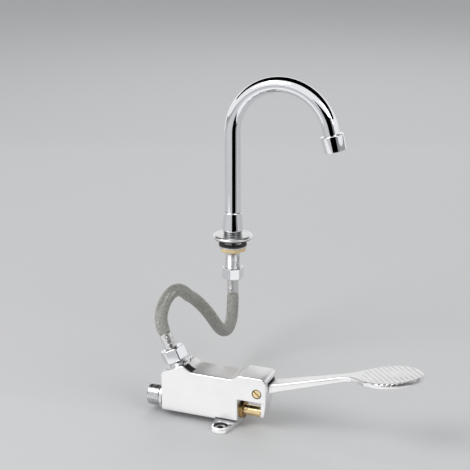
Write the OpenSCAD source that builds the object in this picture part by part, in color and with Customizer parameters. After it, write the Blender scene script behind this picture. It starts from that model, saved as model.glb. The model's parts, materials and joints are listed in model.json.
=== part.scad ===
// Foot pedal tap: gooseneck spout on a deck, braided hose and pedal valve.
// Millimetres. Origin on the deck's top plane at the shank axis, +Z up,
// +X the way the spout and the pedal reach.

/* [Spout] */
// outside diameter of the spout tube
tube_d = 16; // [12:0.5:22]
// wall of the spout tube
tube_wall = 1; // [0.8:0.1:1.5]
// centreline radius of the arch
arch_r = 50.4; // [35:0.1:90]
// height where the straight leg ends and the arch begins
leg_top = 108; // [70:1:220]
// outward tilt of the mouth from vertical
mouth_tilt = 14.8; // [0:0.1:30]
// straight tube after the arch
mouth_straight = 12; // [12:0.5:30]
// height of the tube's foot above the deck
tube_foot = 22; // [22:0.5:26]

/* [Aerator] */
// radius of the shell at its top
shell_top_r = 11.3; // [10.5:0.1:13]
// radius of the shell at its mouth
shell_end_r = 10.7; // [10.2:0.1:12.5]
// length of the shell
shell_len = 16; // [15:0.5:24]
// length of tube held in the shell
shell_grip = 5; // [3:0.5:6]
// radius of the insert
insert_r = 9.2; // [8.5:0.1:9.6]

/* [Deck fitting] */
// outside radius of the G3/8 shank thread
shank_r = 8.331; // [8.331:0.001:10.4775]
// radius of the cover plate
flange_r = 20; // [15:0.5:30]
// thickness of the cover plate
flange_t = 2.8; // [2:0.1:5]
// thickness of the rubber ring under the plate
deck_gasket_t = 1; // [0.8:0.1:2]
// deck thickness the clamp stands off for
deck_t = 6; // [3:0.5:40]
// radius of the ribbed neck
neck_r = 9.2; // [9.2:0.1:11]
// height of the ribbed neck
neck_h = 4.4; // [3:0.1:8]
// radius of the collar at its foot
collar_foot_r = 10.4; // [10:0.1:13]
// how far the collar's top stands out from the tube
collar_lip = 1; // [0.8:0.1:3]
// height of the collar
collar_h = 18.8; // [18:0.2:24]
// radius of the clamp washers
washer_r = 14; // [12:0.5:20]
// thickness of the rubber washer
rubber_t = 1.5; // [1:0.1:3]
// thickness of the steel washer
plate_t = 1.2; // [0.8:0.1:2]
// height of the thin lock nut
lock_h = 4.3; // [3:0.1:8]
// width across flats of the lock nut
lock_af = 24; // [22:0.5:30]
// drop of the upper hose nut's top below the deck
hose_drop = 31; // [22:0.5:80]

/* [Hose] */
// outside radius of the braid
braid_r = 6; // [5:0.1:8]
// radius of the braid inside the ferrules
braid_grip_r = 5.2; // [4.6:0.1:6]
// radius of the hole in the braid
braid_in_r = 4.9; // [4:0.05:5]
// outside radius of the liner
liner_r = 4.5; // [3.8:0.05:4.6]
// radius of the liner's bore
liner_in_r = 3.6; // [2.5:0.05:3.7]
// width across flats of the upper nut
upper_af = 19; // [19:0.5:24]
// width across flats of the lower nut
lower_af = 21; // [19:0.5:24]
// length of each hose nut
hose_nut_h = 11.5; // [11:0.5:20]
// outside radius of the ferrules
ferrule_r = 5.8; // [5.6:0.1:8]
// length of the ferrules
ferrule_len = 14.2; // [10:0.2:20]
// thickness of the rubber rings in the hose nuts
hose_gasket_t = 1.5; // [1:0.1:2]

/* [Valve body] */
// valve bore axis, forward of the shank
valve_x = 25; // [-100:1:200]
// valve bore axis, sideways of the shank
valve_y = -140; // [-300:1:300]
// valve bore axis, height from the deck
valve_z = -114; // [-600:1:-90]
// width of the casting
body_w = 28; // [26:0.5:36]
// left face of the casting
body_left = -34; // [-34:0.5:-30]
// right face of the block behind the window
block_right = 41.5; // [38:0.5:46]
// underside of the block's sides
body_low = -8; // [-10:0.5:-6]
// top of the block
body_top = 33.5; // [28:0.5:36]
// top of the hump over the pivot
hump_top = 38.4; // [36:0.2:42]
// right end of the cheeks
cheek_right = 69; // [67:0.5:76]
// underside of the cheeks
cheek_low = 14.5; // [12:0.5:16]
// gap between the cheeks
slot_w = 17.4; // [16:0.2:20]
// radius of the keel round the bore
keel_r = 13; // [12:0.25:15]
// floor below the bore axis
floor_drop = 15; // [14:0.5:25]
// thickness of the base lugs
lug_t = 4.5; // [3:0.5:8]
// radius of the base lugs
lug_r = 8.5; // [7.5:0.5:12]
// forward place of the screw holes
lug_x = 27.8; // [24:0.2:32]
// distance between the two screw holes
lug_pitch = 40; // [40:1:60]
// radius of the screw holes
screw_r = 2.75; // [2:0.05:3.5]
// radius of the screw head recess
recess_r = 6.6; // [5:0.1:7]

/* [Inlet and outlet] */
// outside radius of the G1/2 inlet thread
inlet_r = 10.4775; // [8.331:0.0005:13.22]
// outer end of the inlet nipple
inlet_end = -51.3; // [-70:0.1:-50]
// radius of both nipple collars
collar_r = 12; // [11:0.1:13]
// thickness of both nipple collars
collar_t = 2.6; // [2:0.1:4]
// outside radius of the G3/8 outlet thread
outlet_r = 8.331; // [8.331:0.001:10.4775]
// backward tilt of the outlet
outlet_tilt = 25; // [0:1:35]
// outlet axis on the boss face, forward
outlet_x = -22.5; // [-26:0.1:-18]
// outlet axis on the boss face, height
outlet_z = 34.2; // [30:0.1:40]

/* [Valve works] */
// radius of the plunger
plunger_r = 5; // [4:0.1:6]
// right end of the plunger at rest
plunger_end = 61; // [50:0.1:62]
// radius of the stem
stem_r = 3; // [2:0.1:3.5]
// radius of the seat and its bore
seat_r = 9.5; // [9:0.1:10.4]
// radius of the gland and its bore
gland_r = 8.5; // [8.1:0.1:9.5]
// width across flats of the gland
gland_af = 16; // [14:0.5:18]
// radius of the seat's port
port_r = 5; // [4:0.1:6]
// radius of the disc holder
holder_r = 6.8; // [6:0.1:7]
// radius of the spring wire
wire_r = 0.6; // [0.4:0.05:0.9]
// centreline radius of the spring
coil_r = 5.2; // [4.5:0.1:6]
// turns of the spring
coils = 6; // [4:1:9]

/* [Pedal] */
// pivot, forward of the valve datum
pivot_x = 60.3; // [56:0.1:64]
// pivot, above the bore axis
pivot_z = 23.4; // [20:0.1:28]
// radius of the pivot pin
pin_r = 3; // [2:0.1:4]
// radius of the pin's slotted head
pin_head_r = 3.8; // [3.5:0.1:5]
// width of the lever's hub and down-arm
hub_w = 16.4; // [14:0.2:18]
// radius of the lever's hub
hub_r = 7.5; // [6.5:0.1:8]
// radius of the nose on the plunger
nose_r = 2; // [1.5:0.1:3]
// rise of the pedal arm
arm_rise = 16.2; // [0:0.1:25]
// reach of the arm from the pivot to the foot plate
arm_len = 88; // [60:1:120]
// rise of the foot plate
plate_rise = 9; // [0:0.5:20]
// reach of the foot plate beyond the end of the arm
plate_reach = 64; // [54:0.5:90]
// half the length of the foot plate's oval
plate_half = 29.5; // [25:0.5:40]
// half the width of the foot plate
plate_wide = 21.9; // [17:0.1:30]
// thickness of the foot plate
plate_h = 5; // [4:0.2:8]
// depth of the tread grooves
tread = 0.8; // [0.4:0.1:1.5]
// distance between the tread grooves along the plate
tread_pitch = 5.2; // [4:0.1:8]

/* [Fits] */
// radial gap of turning and sliding fits
run_gap = 0.05; // [0.02:0.01:0.1]
// radial gap of threads and pushed fits
thread_gap = 0.02; // [0.01:0.01:0.05]
// free gap between moving and fixed pieces
free_gap = 0.3; // [0.3:0.05:0.6]

/* [Hidden] */
$fn = 64;
// the bend's wall is a hair thicker, so its ends close on the straight lengths
bend_skin = 0.02;
// how far the straight lengths run into the bend
bend_lap = 0.05;
half_w = body_w / 2;
flange_top = deck_gasket_t + flange_t;
neck_top = flange_top + neck_h;
collar_top = neck_top + collar_h;
spigot_r = neck_r - 0.5;
collar_top_r = tube_d / 2 + collar_lip;
collar_waist_r = (spigot_r + tube_d / 2) / 2 + 0.95;
shank_top = tube_foot - 4;
socket_r = 6 + run_gap;
socket_low = -4;
clamp_low = -deck_t - rubber_t - plate_t;
nut_grip = hose_nut_h - hose_gasket_t - 2.9;
shank_end = -hose_drop - nut_grip;
mouth = [arch_r + arch_r * cos(mouth_tilt) + (mouth_straight - shell_grip) * sin(mouth_tilt),
    leg_top + arch_r * sin(mouth_tilt) - (mouth_straight - shell_grip) * cos(mouth_tilt)];
hose_tip = hose_nut_h + 0.8 + ferrule_len;
base = [valve_x, valve_y, valve_z];
boss_dir = [-sin(outlet_tilt), 0, cos(outlet_tilt)];
boss_at = base + [outlet_x, 0, outlet_z];
outlet_nut = 4.5;
pocket = 3;
gasket_t = 1;
seat_left = -22;
seat_right = -17;
gland_face = 17;
gland_left = gland_face + free_gap;
gland_rings = [gland_left + 4.7, gland_left + 11.7];
ring_groove = 2;
chamber_r = 8;
outlet_seat_r = 7.5;
outlet_seat_deep = 16;
outlet_bore_r = 5;
outlet_port_r = 5.5;
outlet_port_deep = 37;
tail_r = 2;
tail_len = 8;
shoulder_r = 6.5;
shoulder_t = 3;
holder_len = 5;
holder_floor = 3.4;
holder_rim = 0.8;
inlet_bore_r = 4.5;
spring_bore_r = 7.6;
gasket_r = collar_r - 2;
rest_left = -29;
nose_x = plunger_end + free_gap + nose_r - pivot_x;
nipple_step = -48;
bush_r = pin_r + 1.5;
head_gap = 0.8;
arm_end = [pivot_x + arm_len * cos(arm_rise), pivot_z + 1 + arm_len * sin(arm_rise)];
oval_end = 15;
oval_mid = plate_half - oval_end;
oval_side = (oval_mid * oval_mid + plate_wide * plate_wide - oval_end * oval_end)
    / (2 * (plate_wide - oval_end));
// where the flare of the arm ends, a little inside the oval's side
flare_in = 0.3;
flare_x = -oval_mid - 4.5;
flare_y = sqrt(oval_side * oval_side - flare_x * flare_x) - oval_side + plate_wide - flare_in;
// hose route, chosen by hand: control points of a cubic B-spline
hose_start = [0, 0, -hose_drop - hose_tip];
hose_end = boss_at + boss_dir * (outlet_nut + hose_tip);
hose_lead = 14;
hose_via = [[4, -13, -87], [6, -35, -89], [4, -51, -76], [1, -63, -58], [-10, -74, -40],
    [-11, -87, -33], [-9, -92, -30], [-11, -107, -18], [-15, -127, -20]];
hose_ctrl = concat(
    [hose_start + [0, 0, hose_lead], hose_start, hose_start - [0, 0, hose_lead]],
    hose_via,
    [hose_end + boss_dir * hose_lead, hose_end, hose_end - boss_dir * hose_lead]);
hose_steps = 5;
function bspline(a, b, c, d, t) = (pow(1 - t, 3) * a + (3 * t * t * t - 6 * t * t + 4) * b
    + (-3 * t * t * t + 3 * t * t + 3 * t + 1) * c + t * t * t * d) / 6;
hose_free = concat(
    [for (i = [0 : len(hose_ctrl) - 4]) for (k = [0 : hose_steps - 1])
        bspline(hose_ctrl[i], hose_ctrl[i + 1], hose_ctrl[i + 2], hose_ctrl[i + 3], k / hose_steps)],
    [hose_end]);
hose_line = concat(
    [for (s = [11, 6, 2]) hose_start + [0, 0, s]],
    hose_free,
    [for (s = [2, 6, 11]) hose_end - boss_dir * s]);
function unit(v) = v / norm(v);
function dir_at(p, i) = unit(p[min(i + 1, len(p) - 1)] - p[max(i - 1, 0)]);
function ring(p, i, r, n) = let (t = dir_at(p, i), u = unit(cross(t, [1, 0, 0])), v = cross(t, u))
    [for (j = [0 : n - 1]) p[i] + r * (cos(360 * j / n) * u + sin(360 * j / n) * v)];
function braid_at(i) = (i < 4 || i > len(hose_line) - 5) ? braid_grip_r : braid_r;
spring_len = rest_left - nipple_step;
spring_n = 16 * coils;
coil_line = [for (i = [0 : spring_n]) let (s = i / spring_n, a = 360 * coils * s)
    [nipple_step + wire_r + 0.05 + (spring_len - 2 * wire_r - 0.1) * s,
        coil_r * cos(a), coil_r * sin(a)]];
function coil_ring(i, r, n) = let (t = dir_at(coil_line, i),
    u = unit([0, coil_line[i][1], coil_line[i][2]]), w = unit(u - t * (u * t)), v = cross(t, w))
    [for (j = [0 : n - 1]) coil_line[i] + r * (cos(360 * j / n) * w + sin(360 * j / n) * v)];
// least gap between neighbouring turns of the spring, measured on its points
coil_gap = min([for (i = [0 : spring_n - 12]) for (j = [i + 12 : min(i + 20, spring_n)])
    norm(coil_line[i] - coil_line[j])]) - 2 * wire_r;
echo(least_gap_between_spring_turns_mm = coil_gap);

module pipe(r, hole, h) {
    difference() {
        cylinder(r = r, h = h);
        translate([0, 0, -1]) cylinder(r = hole, h = h + 2);
    }
}
module o_ring(mid, cord) {
    rotate_extrude() translate([mid, 0]) circle(r = cord, $fn = 32);
}
module hex(af, h) {
    cylinder(r = af / sqrt(3), h = h, $fn = 6);
}
module at_mouth(s) {
    translate([mouth[0], 0, mouth[1]]) rotate([0, 180 - mouth_tilt, 0]) translate([0, 0, s]) children();
}
module at_valve() {
    translate(base) children();
}
module along_x(x) {
    translate([x, 0, 0]) rotate([0, 90, 0]) children();
}
module along_y(x, y, z) {
    translate([x, y, z]) rotate([-90, 0, 0]) children();
}
module at_outlet(s) {
    translate([outlet_x, 0, outlet_z]) rotate([0, -outlet_tilt, 0]) translate([0, 0, s]) children();
}
module at_upper(s) {
    translate([0, 0, -hose_drop]) rotate([180, 0, 0]) translate([0, 0, s]) children();
}
module at_lower(s) {
    at_valve() at_outlet(outlet_nut + s) children();
}

// one closed skin through rings of points, with a hole along it
module hollow_skin(outer, inner) {
    n = len(outer[0]);
    m = len(outer);
    o = m * n;
    pts = concat([for (r = outer) each r], [for (r = inner) each r]);
    faces = concat(
        [for (i = [0 : m - 2]) for (j = [0 : n - 1]) let (k = (j + 1) % n)
            each [[i * n + j, (i + 1) * n + j, (i + 1) * n + k], [i * n + j, (i + 1) * n + k, i * n + k]]],
        [for (i = [0 : m - 2]) for (j = [0 : n - 1]) let (k = (j + 1) % n)
            each [[o + i * n + k, o + (i + 1) * n + k, o + (i + 1) * n + j],
                [o + i * n + k, o + (i + 1) * n + j, o + i * n + j]]],
        [for (j = [0 : n - 1]) let (k = (j + 1) % n)
            each [[j, k, o + k], [j, o + k, o + j]]],
        [for (j = [0 : n - 1]) let (k = (j + 1) % n, e = (m - 1) * n)
            each [[e + k, e + j, o + e + j], [e + k, o + e + j, o + e + k]]]);
    polyhedron(points = pts, faces = faces, convexity = 10);
}
// one closed solid cord through rings of points
module solid_skin(rings) {
    n = len(rings[0]);
    m = len(rings);
    faces = concat(
        [for (i = [0 : m - 2]) for (j = [0 : n - 1]) let (k = (j + 1) % n)
            each [[i * n + j, (i + 1) * n + j, (i + 1) * n + k], [i * n + j, (i + 1) * n + k, i * n + k]]],
        [[for (j = [0 : n - 1]) j]],
        [[for (j = [n - 1 : -1 : 0]) (m - 1) * n + j]]);
    polyhedron(points = [for (r = rings) each r], faces = faces, convexity = 10);
}

module spout_tube() {
    r = tube_d / 2;
    hole = r - tube_wall;
    color("silver") union() {
        translate([0, 0, tube_foot]) pipe(r, hole, leg_top - tube_foot + bend_lap);
        translate([arch_r, 0, leg_top]) rotate([90, 0, 0]) rotate([0, 0, mouth_tilt])
            rotate_extrude(angle = 180 - mouth_tilt) translate([arch_r, 0]) difference() {
                circle(r = r + bend_skin);
                circle(r = hole - bend_skin);
            }
        at_mouth(shell_grip - mouth_straight - bend_lap) pipe(r, hole, mouth_straight + bend_lap);
    }
}
module spout_tail() {
    color("gold") rotate_extrude() difference() {
        union() {
            translate([3.2, socket_low + 0.5]) square([2.8, tube_foot - 2 - socket_low]);
            translate([3.2, tube_foot - 1.7]) square([tube_d / 2 - 3.2, 1.7]);
            translate([3.2, tube_foot - 1]) square([tube_d / 2 - tube_wall - thread_gap - 3.2, 13]);
        }
        translate([5.2, shank_top - free_gap]) square([9, 2 + 2 * free_gap]);
        for (z = [0, 7]) translate([4.4, z]) square([3, 2]);
    }
}
module tail_o_rings() {
    color("black") for (z = [1, 8]) translate([0, 0, z]) o_ring(5.21, 0.81);
}
module aerator_shell() {
    color("silver") at_mouth(0) difference() {
        cylinder(r1 = shell_top_r, r2 = shell_end_r, h = shell_len);
        translate([0, 0, -1]) cylinder(r = tube_d / 2 + thread_gap, h = shell_grip + 1.01);
        translate([0, 0, shell_grip]) cylinder(r = insert_r + 0.1, h = 8.1);
        translate([0, 0, shell_grip + 8]) cylinder(r = 8.4, h = shell_len);
    }
}
module aerator_washer() {
    color("black") at_mouth(shell_grip) pipe(insert_r, 6, 1.5);
}
module aerator_insert() {
    color("white") at_mouth(shell_grip + 1.5) difference() {
        cylinder(r = insert_r, h = 6);
        translate([0, 0, -1]) cylinder(r = 1.3, h = 8);
        for (a = [0 : 60 : 300]) rotate([0, 0, a]) translate([4.6, 0, -1]) cylinder(r = 1.3, h = 8);
    }
}
module aerator_screen() {
    color("gray") at_mouth(shell_grip + 7.5) difference() {
        cylinder(r = insert_r, h = 0.6);
        for (a = [0 : 60 : 300]) rotate([0, 0, a]) translate([4, 0, -1]) cylinder(r = 1.2, h = 3);
    }
}
module spout_collar() {
    color("silver") rotate_extrude() polygon([
        [spigot_r + thread_gap, neck_top], [collar_foot_r, neck_top],
        [collar_foot_r, neck_top + 1.2], [collar_waist_r, collar_top - 6],
        [collar_top_r, collar_top - 0.6], [collar_top_r - 0.4, collar_top],
        [tube_d / 2 + free_gap, collar_top], [tube_d / 2 + free_gap, shank_top + 2],
        [spigot_r + thread_gap, shank_top + 2]]);
}
module swivel_ring() {
    color("white") translate([0, 0, shank_top]) pipe(spigot_r, 5.2 + free_gap, 2);
}
module deck_shank() {
    color("silver") difference() {
        union() {
            translate([0, 0, shank_end]) cylinder(r = shank_r, h = flange_top - shank_end);
            translate([0, 0, flange_top]) cylinder(r = neck_r, h = neck_h);
            translate([0, 0, neck_top]) cylinder(r = spigot_r, h = shank_top - neck_top);
        }
        translate([0, 0, shank_end - 1]) cylinder(r = 4.5, h = socket_low - shank_end + 2);
        translate([0, 0, socket_low]) cylinder(r = socket_r, h = shank_top - socket_low + 1);
        for (z = [0.9, 2.1, 3.3]) translate([0, 0, flange_top + z]) rotate_extrude()
            polygon([[neck_r + 0.1, -0.4], [neck_r - 0.35, 0], [neck_r + 0.1, 0.4]]);
    }
}
module deck_flange() {
    color("silver") rotate_extrude() polygon([
        [shank_r + thread_gap, deck_gasket_t], [flange_r, deck_gasket_t],
        [flange_r, deck_gasket_t + 1.4], [flange_r - 1.4, flange_top],
        [shank_r + thread_gap, flange_top]]);
}
module deck_gasket() {
    color("black") pipe(flange_r - 1, shank_r + thread_gap, deck_gasket_t);
}
module clamp_washer() {
    color("black") translate([0, 0, -deck_t - rubber_t]) pipe(washer_r, shank_r + thread_gap, rubber_t);
}
module clamp_plate() {
    color("gray") translate([0, 0, clamp_low]) pipe(washer_r, shank_r + thread_gap, plate_t);
}
module lock_nut() {
    color("gold") translate([0, 0, clamp_low - lock_h]) difference() {
        hex(lock_af, lock_h);
        translate([0, 0, -1]) cylinder(r = shank_r + thread_gap, h = lock_h + 2);
    }
}

module hose_braid() {
    color("lightgray") hollow_skin(
        [for (i = [0 : len(hose_line) - 1]) ring(hose_line, i, braid_at(i), 12)],
        [for (i = [0 : len(hose_line) - 1]) ring(hose_line, i, braid_in_r, 12)]);
}
module hose_liner() {
    color("dimgray") hollow_skin(
        [for (i = [0 : len(hose_line) - 1]) ring(hose_line, i, liner_r, 8)],
        [for (i = [0 : len(hose_line) - 1]) ring(hose_line, i, liner_in_r, 8)]);
}
// hose end pieces, drawn along the hose from the open end of the nut
module hose_nut(af, thread_r) {
    difference() {
        intersection() {
            hex(af, hose_nut_h);
            cylinder(r1 = af / sqrt(3) - 0.4, r2 = af / sqrt(3) + 12, h = hose_nut_h);
            translate([0, 0, hose_nut_h - 20])
                cylinder(r1 = af / sqrt(3) + 17, r2 = af / sqrt(3) - 0.9, h = 20);
        }
        translate([0, 0, -1]) cylinder(r = thread_r + thread_gap, h = hose_nut_h - 0.3);
        translate([0, 0, -1]) cylinder(r = 5.3, h = hose_nut_h + 2);
    }
}
module hose_insert() {
    rotate_extrude() polygon([
        [2.4, nut_grip + hose_gasket_t], [8, nut_grip + hose_gasket_t], [8, hose_nut_h - 1.3],
        [5, hose_nut_h - 1.3], [5, hose_nut_h + 1.8],
        [3.2, hose_nut_h + 1.8], [3.2, hose_tip - 2], [2.4, hose_tip - 2]]);
}
module hose_ferrule() {
    translate([0, 0, hose_nut_h + 0.8]) rotate_extrude() polygon([
        [5, 0], [ferrule_r - 0.5, 0], [ferrule_r, 0.5], [ferrule_r, 4], [ferrule_r - 0.2, 4.3],
        [ferrule_r - 0.2, 8.7], [ferrule_r, 9], [ferrule_r, ferrule_len - 0.3],
        [ferrule_r - 0.3, ferrule_len], [braid_grip_r + 0.05, ferrule_len],
        [braid_grip_r + 0.05, 1], [5, 1]]);
}
module upper_ferrule() {
    color("silver") at_upper(0) hose_ferrule();
}
module upper_insert() {
    color("gold") at_upper(0) hose_insert();
}
module upper_nut() {
    color("silver") at_upper(0) rotate([0, 0, 30]) hose_nut(upper_af, shank_r);
}
module upper_gasket() {
    color("black") at_upper(nut_grip) pipe(8, 4.6, hose_gasket_t);
}
module lower_ferrule() {
    color("silver") at_lower(0) hose_ferrule();
}
module lower_insert() {
    color("gold") at_lower(0) hose_insert();
}
module lower_nut() {
    color("silver") at_lower(0) rotate([0, 0, 17]) hose_nut(lower_af, outlet_r);
}
module lower_gasket() {
    color("black") at_lower(nut_grip) pipe(8, 4.6, hose_gasket_t);
}

// the casting's side view, drawn x across and z up
module body_side() {
    boss = tan(outlet_tilt);
    lean_l = outlet_z + (body_left - outlet_x) * boss;
    peak = 10.1;
    polygon([[body_left, body_low], [body_left, lean_l],
        [outlet_x + peak, outlet_z + peak * boss], [-4.2, body_top], [36.6, body_top],
        [42, hump_top], [cheek_right - 4.5, hump_top], [cheek_right - 4.5, cheek_low],
        [block_right, cheek_low], [block_right, body_low]]);
    translate([cheek_right - 4.5, hump_top - 4.5]) circle(r = 4.5);
    translate([cheek_right - 4.6, cheek_low]) square([4.6, hump_top - 4.5 - cheek_low]);
}
module lug_side() {
    // tangent side of the lug down to the plate under the casting
    polygon([[block_right - 1.2, 0], [lug_x + lug_r, -lug_pitch / 2 + 1], [lug_x, -lug_pitch / 2],
        [lug_x - lug_r, -lug_pitch / 2 + 1], [16, 0]]);
    translate([lug_x, -lug_pitch / 2]) circle(r = lug_r);
}
module valve_body() {
    color("silver") at_valve() difference() {
        union() {
            translate([0, half_w, 0]) rotate([90, 0, 0]) linear_extrude(body_w) body_side();
            along_x(body_left) cylinder(r = keel_r, h = block_right - body_left);
            translate([0, 0, -floor_drop]) linear_extrude(lug_t) {
                lug_side();
                mirror([0, 1]) lug_side();
            }
        }
        // bore for seat, chamber and gland
        along_x(body_left - 1) cylinder(r = seat_r + thread_gap, h = seat_right - body_left + 1);
        along_x(seat_right - 0.1) cylinder(r = chamber_r, h = gland_face - seat_right + 0.2);
        along_x(gland_face) cylinder(r = gland_r + thread_gap, h = block_right - gland_face + 1);
        // outlet bore and the shallow pocket its collar stands in
        at_outlet(-pocket) cylinder(r = collar_r + 0.4, h = pocket + 30);
        at_outlet(-outlet_seat_deep) cylinder(r = outlet_seat_r + thread_gap, h = outlet_seat_deep + 1);
        at_outlet(-outlet_port_deep)
            cylinder(r = outlet_port_r, h = outlet_port_deep - outlet_seat_deep + 1);
        // relief beside the outlet
        at_outlet(-9) translate([9.5, -half_w + 1.4, 0]) cube([9, 9.1, 14]);
        // slot for the lever and the window under the cheeks
        translate([block_right, -slot_w / 2, body_low - 1])
            cube([cheek_right - block_right + 1, slot_w, hump_top - 5 - body_low + 1]);
        // pivot bore with the head's recess
        along_y(pivot_x, -half_w - 1, pivot_z) cylinder(r = pin_r + thread_gap, h = body_w);
        along_y(pivot_x, -half_w - 1, pivot_z) cylinder(r = pin_head_r + head_gap, h = 3.2);
        // floor screw holes with head recesses, and the step they leave in the side
        for (s = [-1, 1]) {
            translate([lug_x, s * lug_pitch / 2, -floor_drop - 1]) cylinder(r = screw_r, h = 12);
            translate([lug_x, s * lug_pitch / 2, -floor_drop + 3]) cylinder(r = recess_r, h = 6.2);
            translate([20, s > 0 ? half_w - 0.9 : -half_w - 1, body_low - 1])
                cube([block_right - 19, 1.9, 3.2]);
        }
    }
}
module inlet_nipple() {
    ring_x = body_left - gasket_t;
    color("silver") at_valve() difference() {
        union() {
            along_x(inlet_end + 1) cylinder(r = inlet_r, h = ring_x - inlet_end - 1.5);
            along_x(inlet_end) cylinder(r1 = inlet_r - 1, r2 = inlet_r, h = 1);
            along_x(ring_x - collar_t) cylinder(r = collar_r + 0.4, h = collar_t);
            along_x(ring_x - 1) cylinder(r = seat_r, h = seat_left - ring_x + 1);
        }
        along_x(inlet_end - 1) cylinder(r = inlet_bore_r, h = nipple_step - inlet_end + 2);
        along_x(nipple_step) cylinder(r = spring_bore_r, h = seat_left - nipple_step + 1);
    }
}
module inlet_gasket() {
    color("black") at_valve() along_x(body_left - gasket_t)
        pipe(collar_r - 0.5, seat_r + thread_gap, gasket_t);
}
module outlet_nipple() {
    color("silver") at_valve() at_outlet(-pocket + gasket_t) difference() {
        union() {
            cylinder(r = collar_r, h = collar_t);
            translate([0, 0, 1]) cylinder(r = outlet_r, h = pocket - gasket_t + outlet_nut + nut_grip - 1);
            translate([0, 0, pocket - outlet_seat_deep])
                cylinder(r = outlet_seat_r, h = outlet_seat_deep - pocket + 1);
        }
        translate([0, 0, pocket - outlet_seat_deep - 1])
            cylinder(r = outlet_bore_r, h = outlet_seat_deep + outlet_nut + hose_nut_h);
    }
}
module outlet_gasket() {
    color("black") at_valve() at_outlet(-pocket) pipe(gasket_r, outlet_seat_r + thread_gap, gasket_t);
}
module valve_seat() {
    color("gold") at_valve() along_x(seat_left) difference() {
        cylinder(r = seat_r, h = seat_right - seat_left);
        translate([0, 0, -1]) cylinder(r = port_r, h = 10);
    }
}
module valve_stem() {
    color("gold") at_valve() difference() {
        union() {
            along_x(rest_left) cylinder(r = tail_r, h = tail_len);
            along_x(seat_left - free_gap) cylinder(r = stem_r, h = gland_left - seat_left);
            along_x(gland_left - shoulder_t - free_gap) cylinder(r = shoulder_r, h = shoulder_t);
            along_x(gland_left - 2) cylinder(r = plunger_r, h = plunger_end - gland_left + 1.5);
            along_x(plunger_end - 0.5) cylinder(r1 = plunger_r, r2 = plunger_r - 0.5, h = 0.5);
        }
        along_x(rest_left - 1) cylinder(r = 0.8, h = 3);
    }
}
module disc_holder() {
    color("gold") at_valve() difference() {
        along_x(rest_left) cylinder(r = holder_r, h = holder_len);
        along_x(rest_left + holder_floor) cylinder(r = holder_r - holder_rim, h = holder_len);
        along_x(rest_left - 1) cylinder(r = tail_r + thread_gap, h = holder_len + 5);
    }
}
module seal_disc() {
    color("black") at_valve() along_x(rest_left + holder_floor)
        pipe(holder_r - holder_rim - thread_gap, tail_r + thread_gap,
            seat_left - free_gap - rest_left - holder_floor);
}
module return_spring() {
    color("gray") at_valve() solid_skin([for (i = [0 : spring_n]) coil_ring(i, wire_r, 6)]);
}
module gland_nut() {
    color("gold") at_valve() difference() {
        union() {
            along_x(gland_left) cylinder(r = gland_r, h = block_right - gland_left);
            along_x(block_right) hex(gland_af, 2.5);
        }
        along_x(gland_left - 1) cylinder(r = plunger_r + run_gap, h = block_right - gland_left + 10);
        for (x = gland_rings) along_x(x) cylinder(r = plunger_r + 1.8, h = ring_groove);
    }
}
module gland_o_rings() {
    color("black") at_valve() for (x = gland_rings) along_x(x + ring_groove / 2)
        o_ring(plunger_r + 0.94, 0.86);
}

// half width of the pedal arm, tapering towards the plate
module arm_plan() {
    polygon([[6, -7.4], [22, -7.2], [arm_len, -4.6], [arm_len + 12, -7], [arm_len + 12, 7], [arm_len, 4.6],
        [22, 7.2], [6, 7.4]]);
}
module arm_side() {
    polygon([[-3, -6], [8, -6], [14, -4.4], [22, -3.7], [arm_len, -2.3], [arm_len + 14, -3.6],
        [arm_len + 14, -0.2], [arm_len, 2.3], [22, 3.7], [8, 4.2], [-3, 5]]);
}
module plate_plan() {
    reach = oval_mid + oval_end * oval_mid / (oval_side - oval_end);
    intersection() {
        translate([0, oval_side - plate_wide]) circle(r = oval_side);
        translate([0, plate_wide - oval_side]) circle(r = oval_side);
        square([2 * reach, 3 * plate_wide], center = true);
    }
    for (s = [-1, 1]) translate([s * oval_mid, 0]) circle(r = oval_end);
    // the arm flares out to the oval
    polygon([[-plate_reach + plate_half - 3, -5], [-plate_reach + plate_half, -6.6], [flare_x, -flare_y],
        [flare_x, flare_y], [-plate_reach + plate_half, 6.6], [-plate_reach + plate_half - 3, 5]]);
}
module foot_plate() {
    // x runs along the plate from the end of the arm
    translate([plate_reach - plate_half, 0, -plate_h / 2]) difference() {
        linear_extrude(plate_h) plate_plan();
        for (k = [-8 : 8]) translate([k * tread_pitch, 0, plate_h + 0.9]) rotate([0, 0, 38])
            translate([0, 40, 0]) rotate([90, 0, 0]) cylinder(r = tread + 0.9, h = 80);
    }
}
module pedal_lever() {
    color("silver") at_valve() difference() {
        union() {
            // hub and down-arm with its round nose
            along_y(pivot_x, -hub_w / 2, pivot_z) cylinder(r = hub_r, h = hub_w);
            translate([0, hub_w / 2, 0]) rotate([90, 0, 0]) linear_extrude(hub_w) polygon([
                [pivot_x + nose_x - nose_r + 0.8, 0], [pivot_x + 0.9, pivot_z - 6],
                [pivot_x + 7, pivot_z - 2],
                [pivot_x + 6.6, pivot_z - 12], [pivot_x + nose_x + nose_r, 0]]);
            along_y(pivot_x + nose_x, -hub_w / 2, 0) cylinder(r = nose_r, h = hub_w);
            // arm
            translate([pivot_x, 0, pivot_z + 1]) rotate([0, -arm_rise, 0]) intersection() {
                translate([0, 20, 0]) rotate([90, 0, 0]) linear_extrude(40) arm_side();
                translate([0, 0, -10]) linear_extrude(20) union() {
                    arm_plan();
                    translate([-4, -7.4]) square([12, 14.8]);
                }
            }
            translate([arm_end[0], 0, arm_end[1]]) rotate([0, -plate_rise, 0]) foot_plate();
        }
        along_y(pivot_x, -hub_w, pivot_z) cylinder(r = bush_r + thread_gap, h = 2 * hub_w);
    }
}
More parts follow.
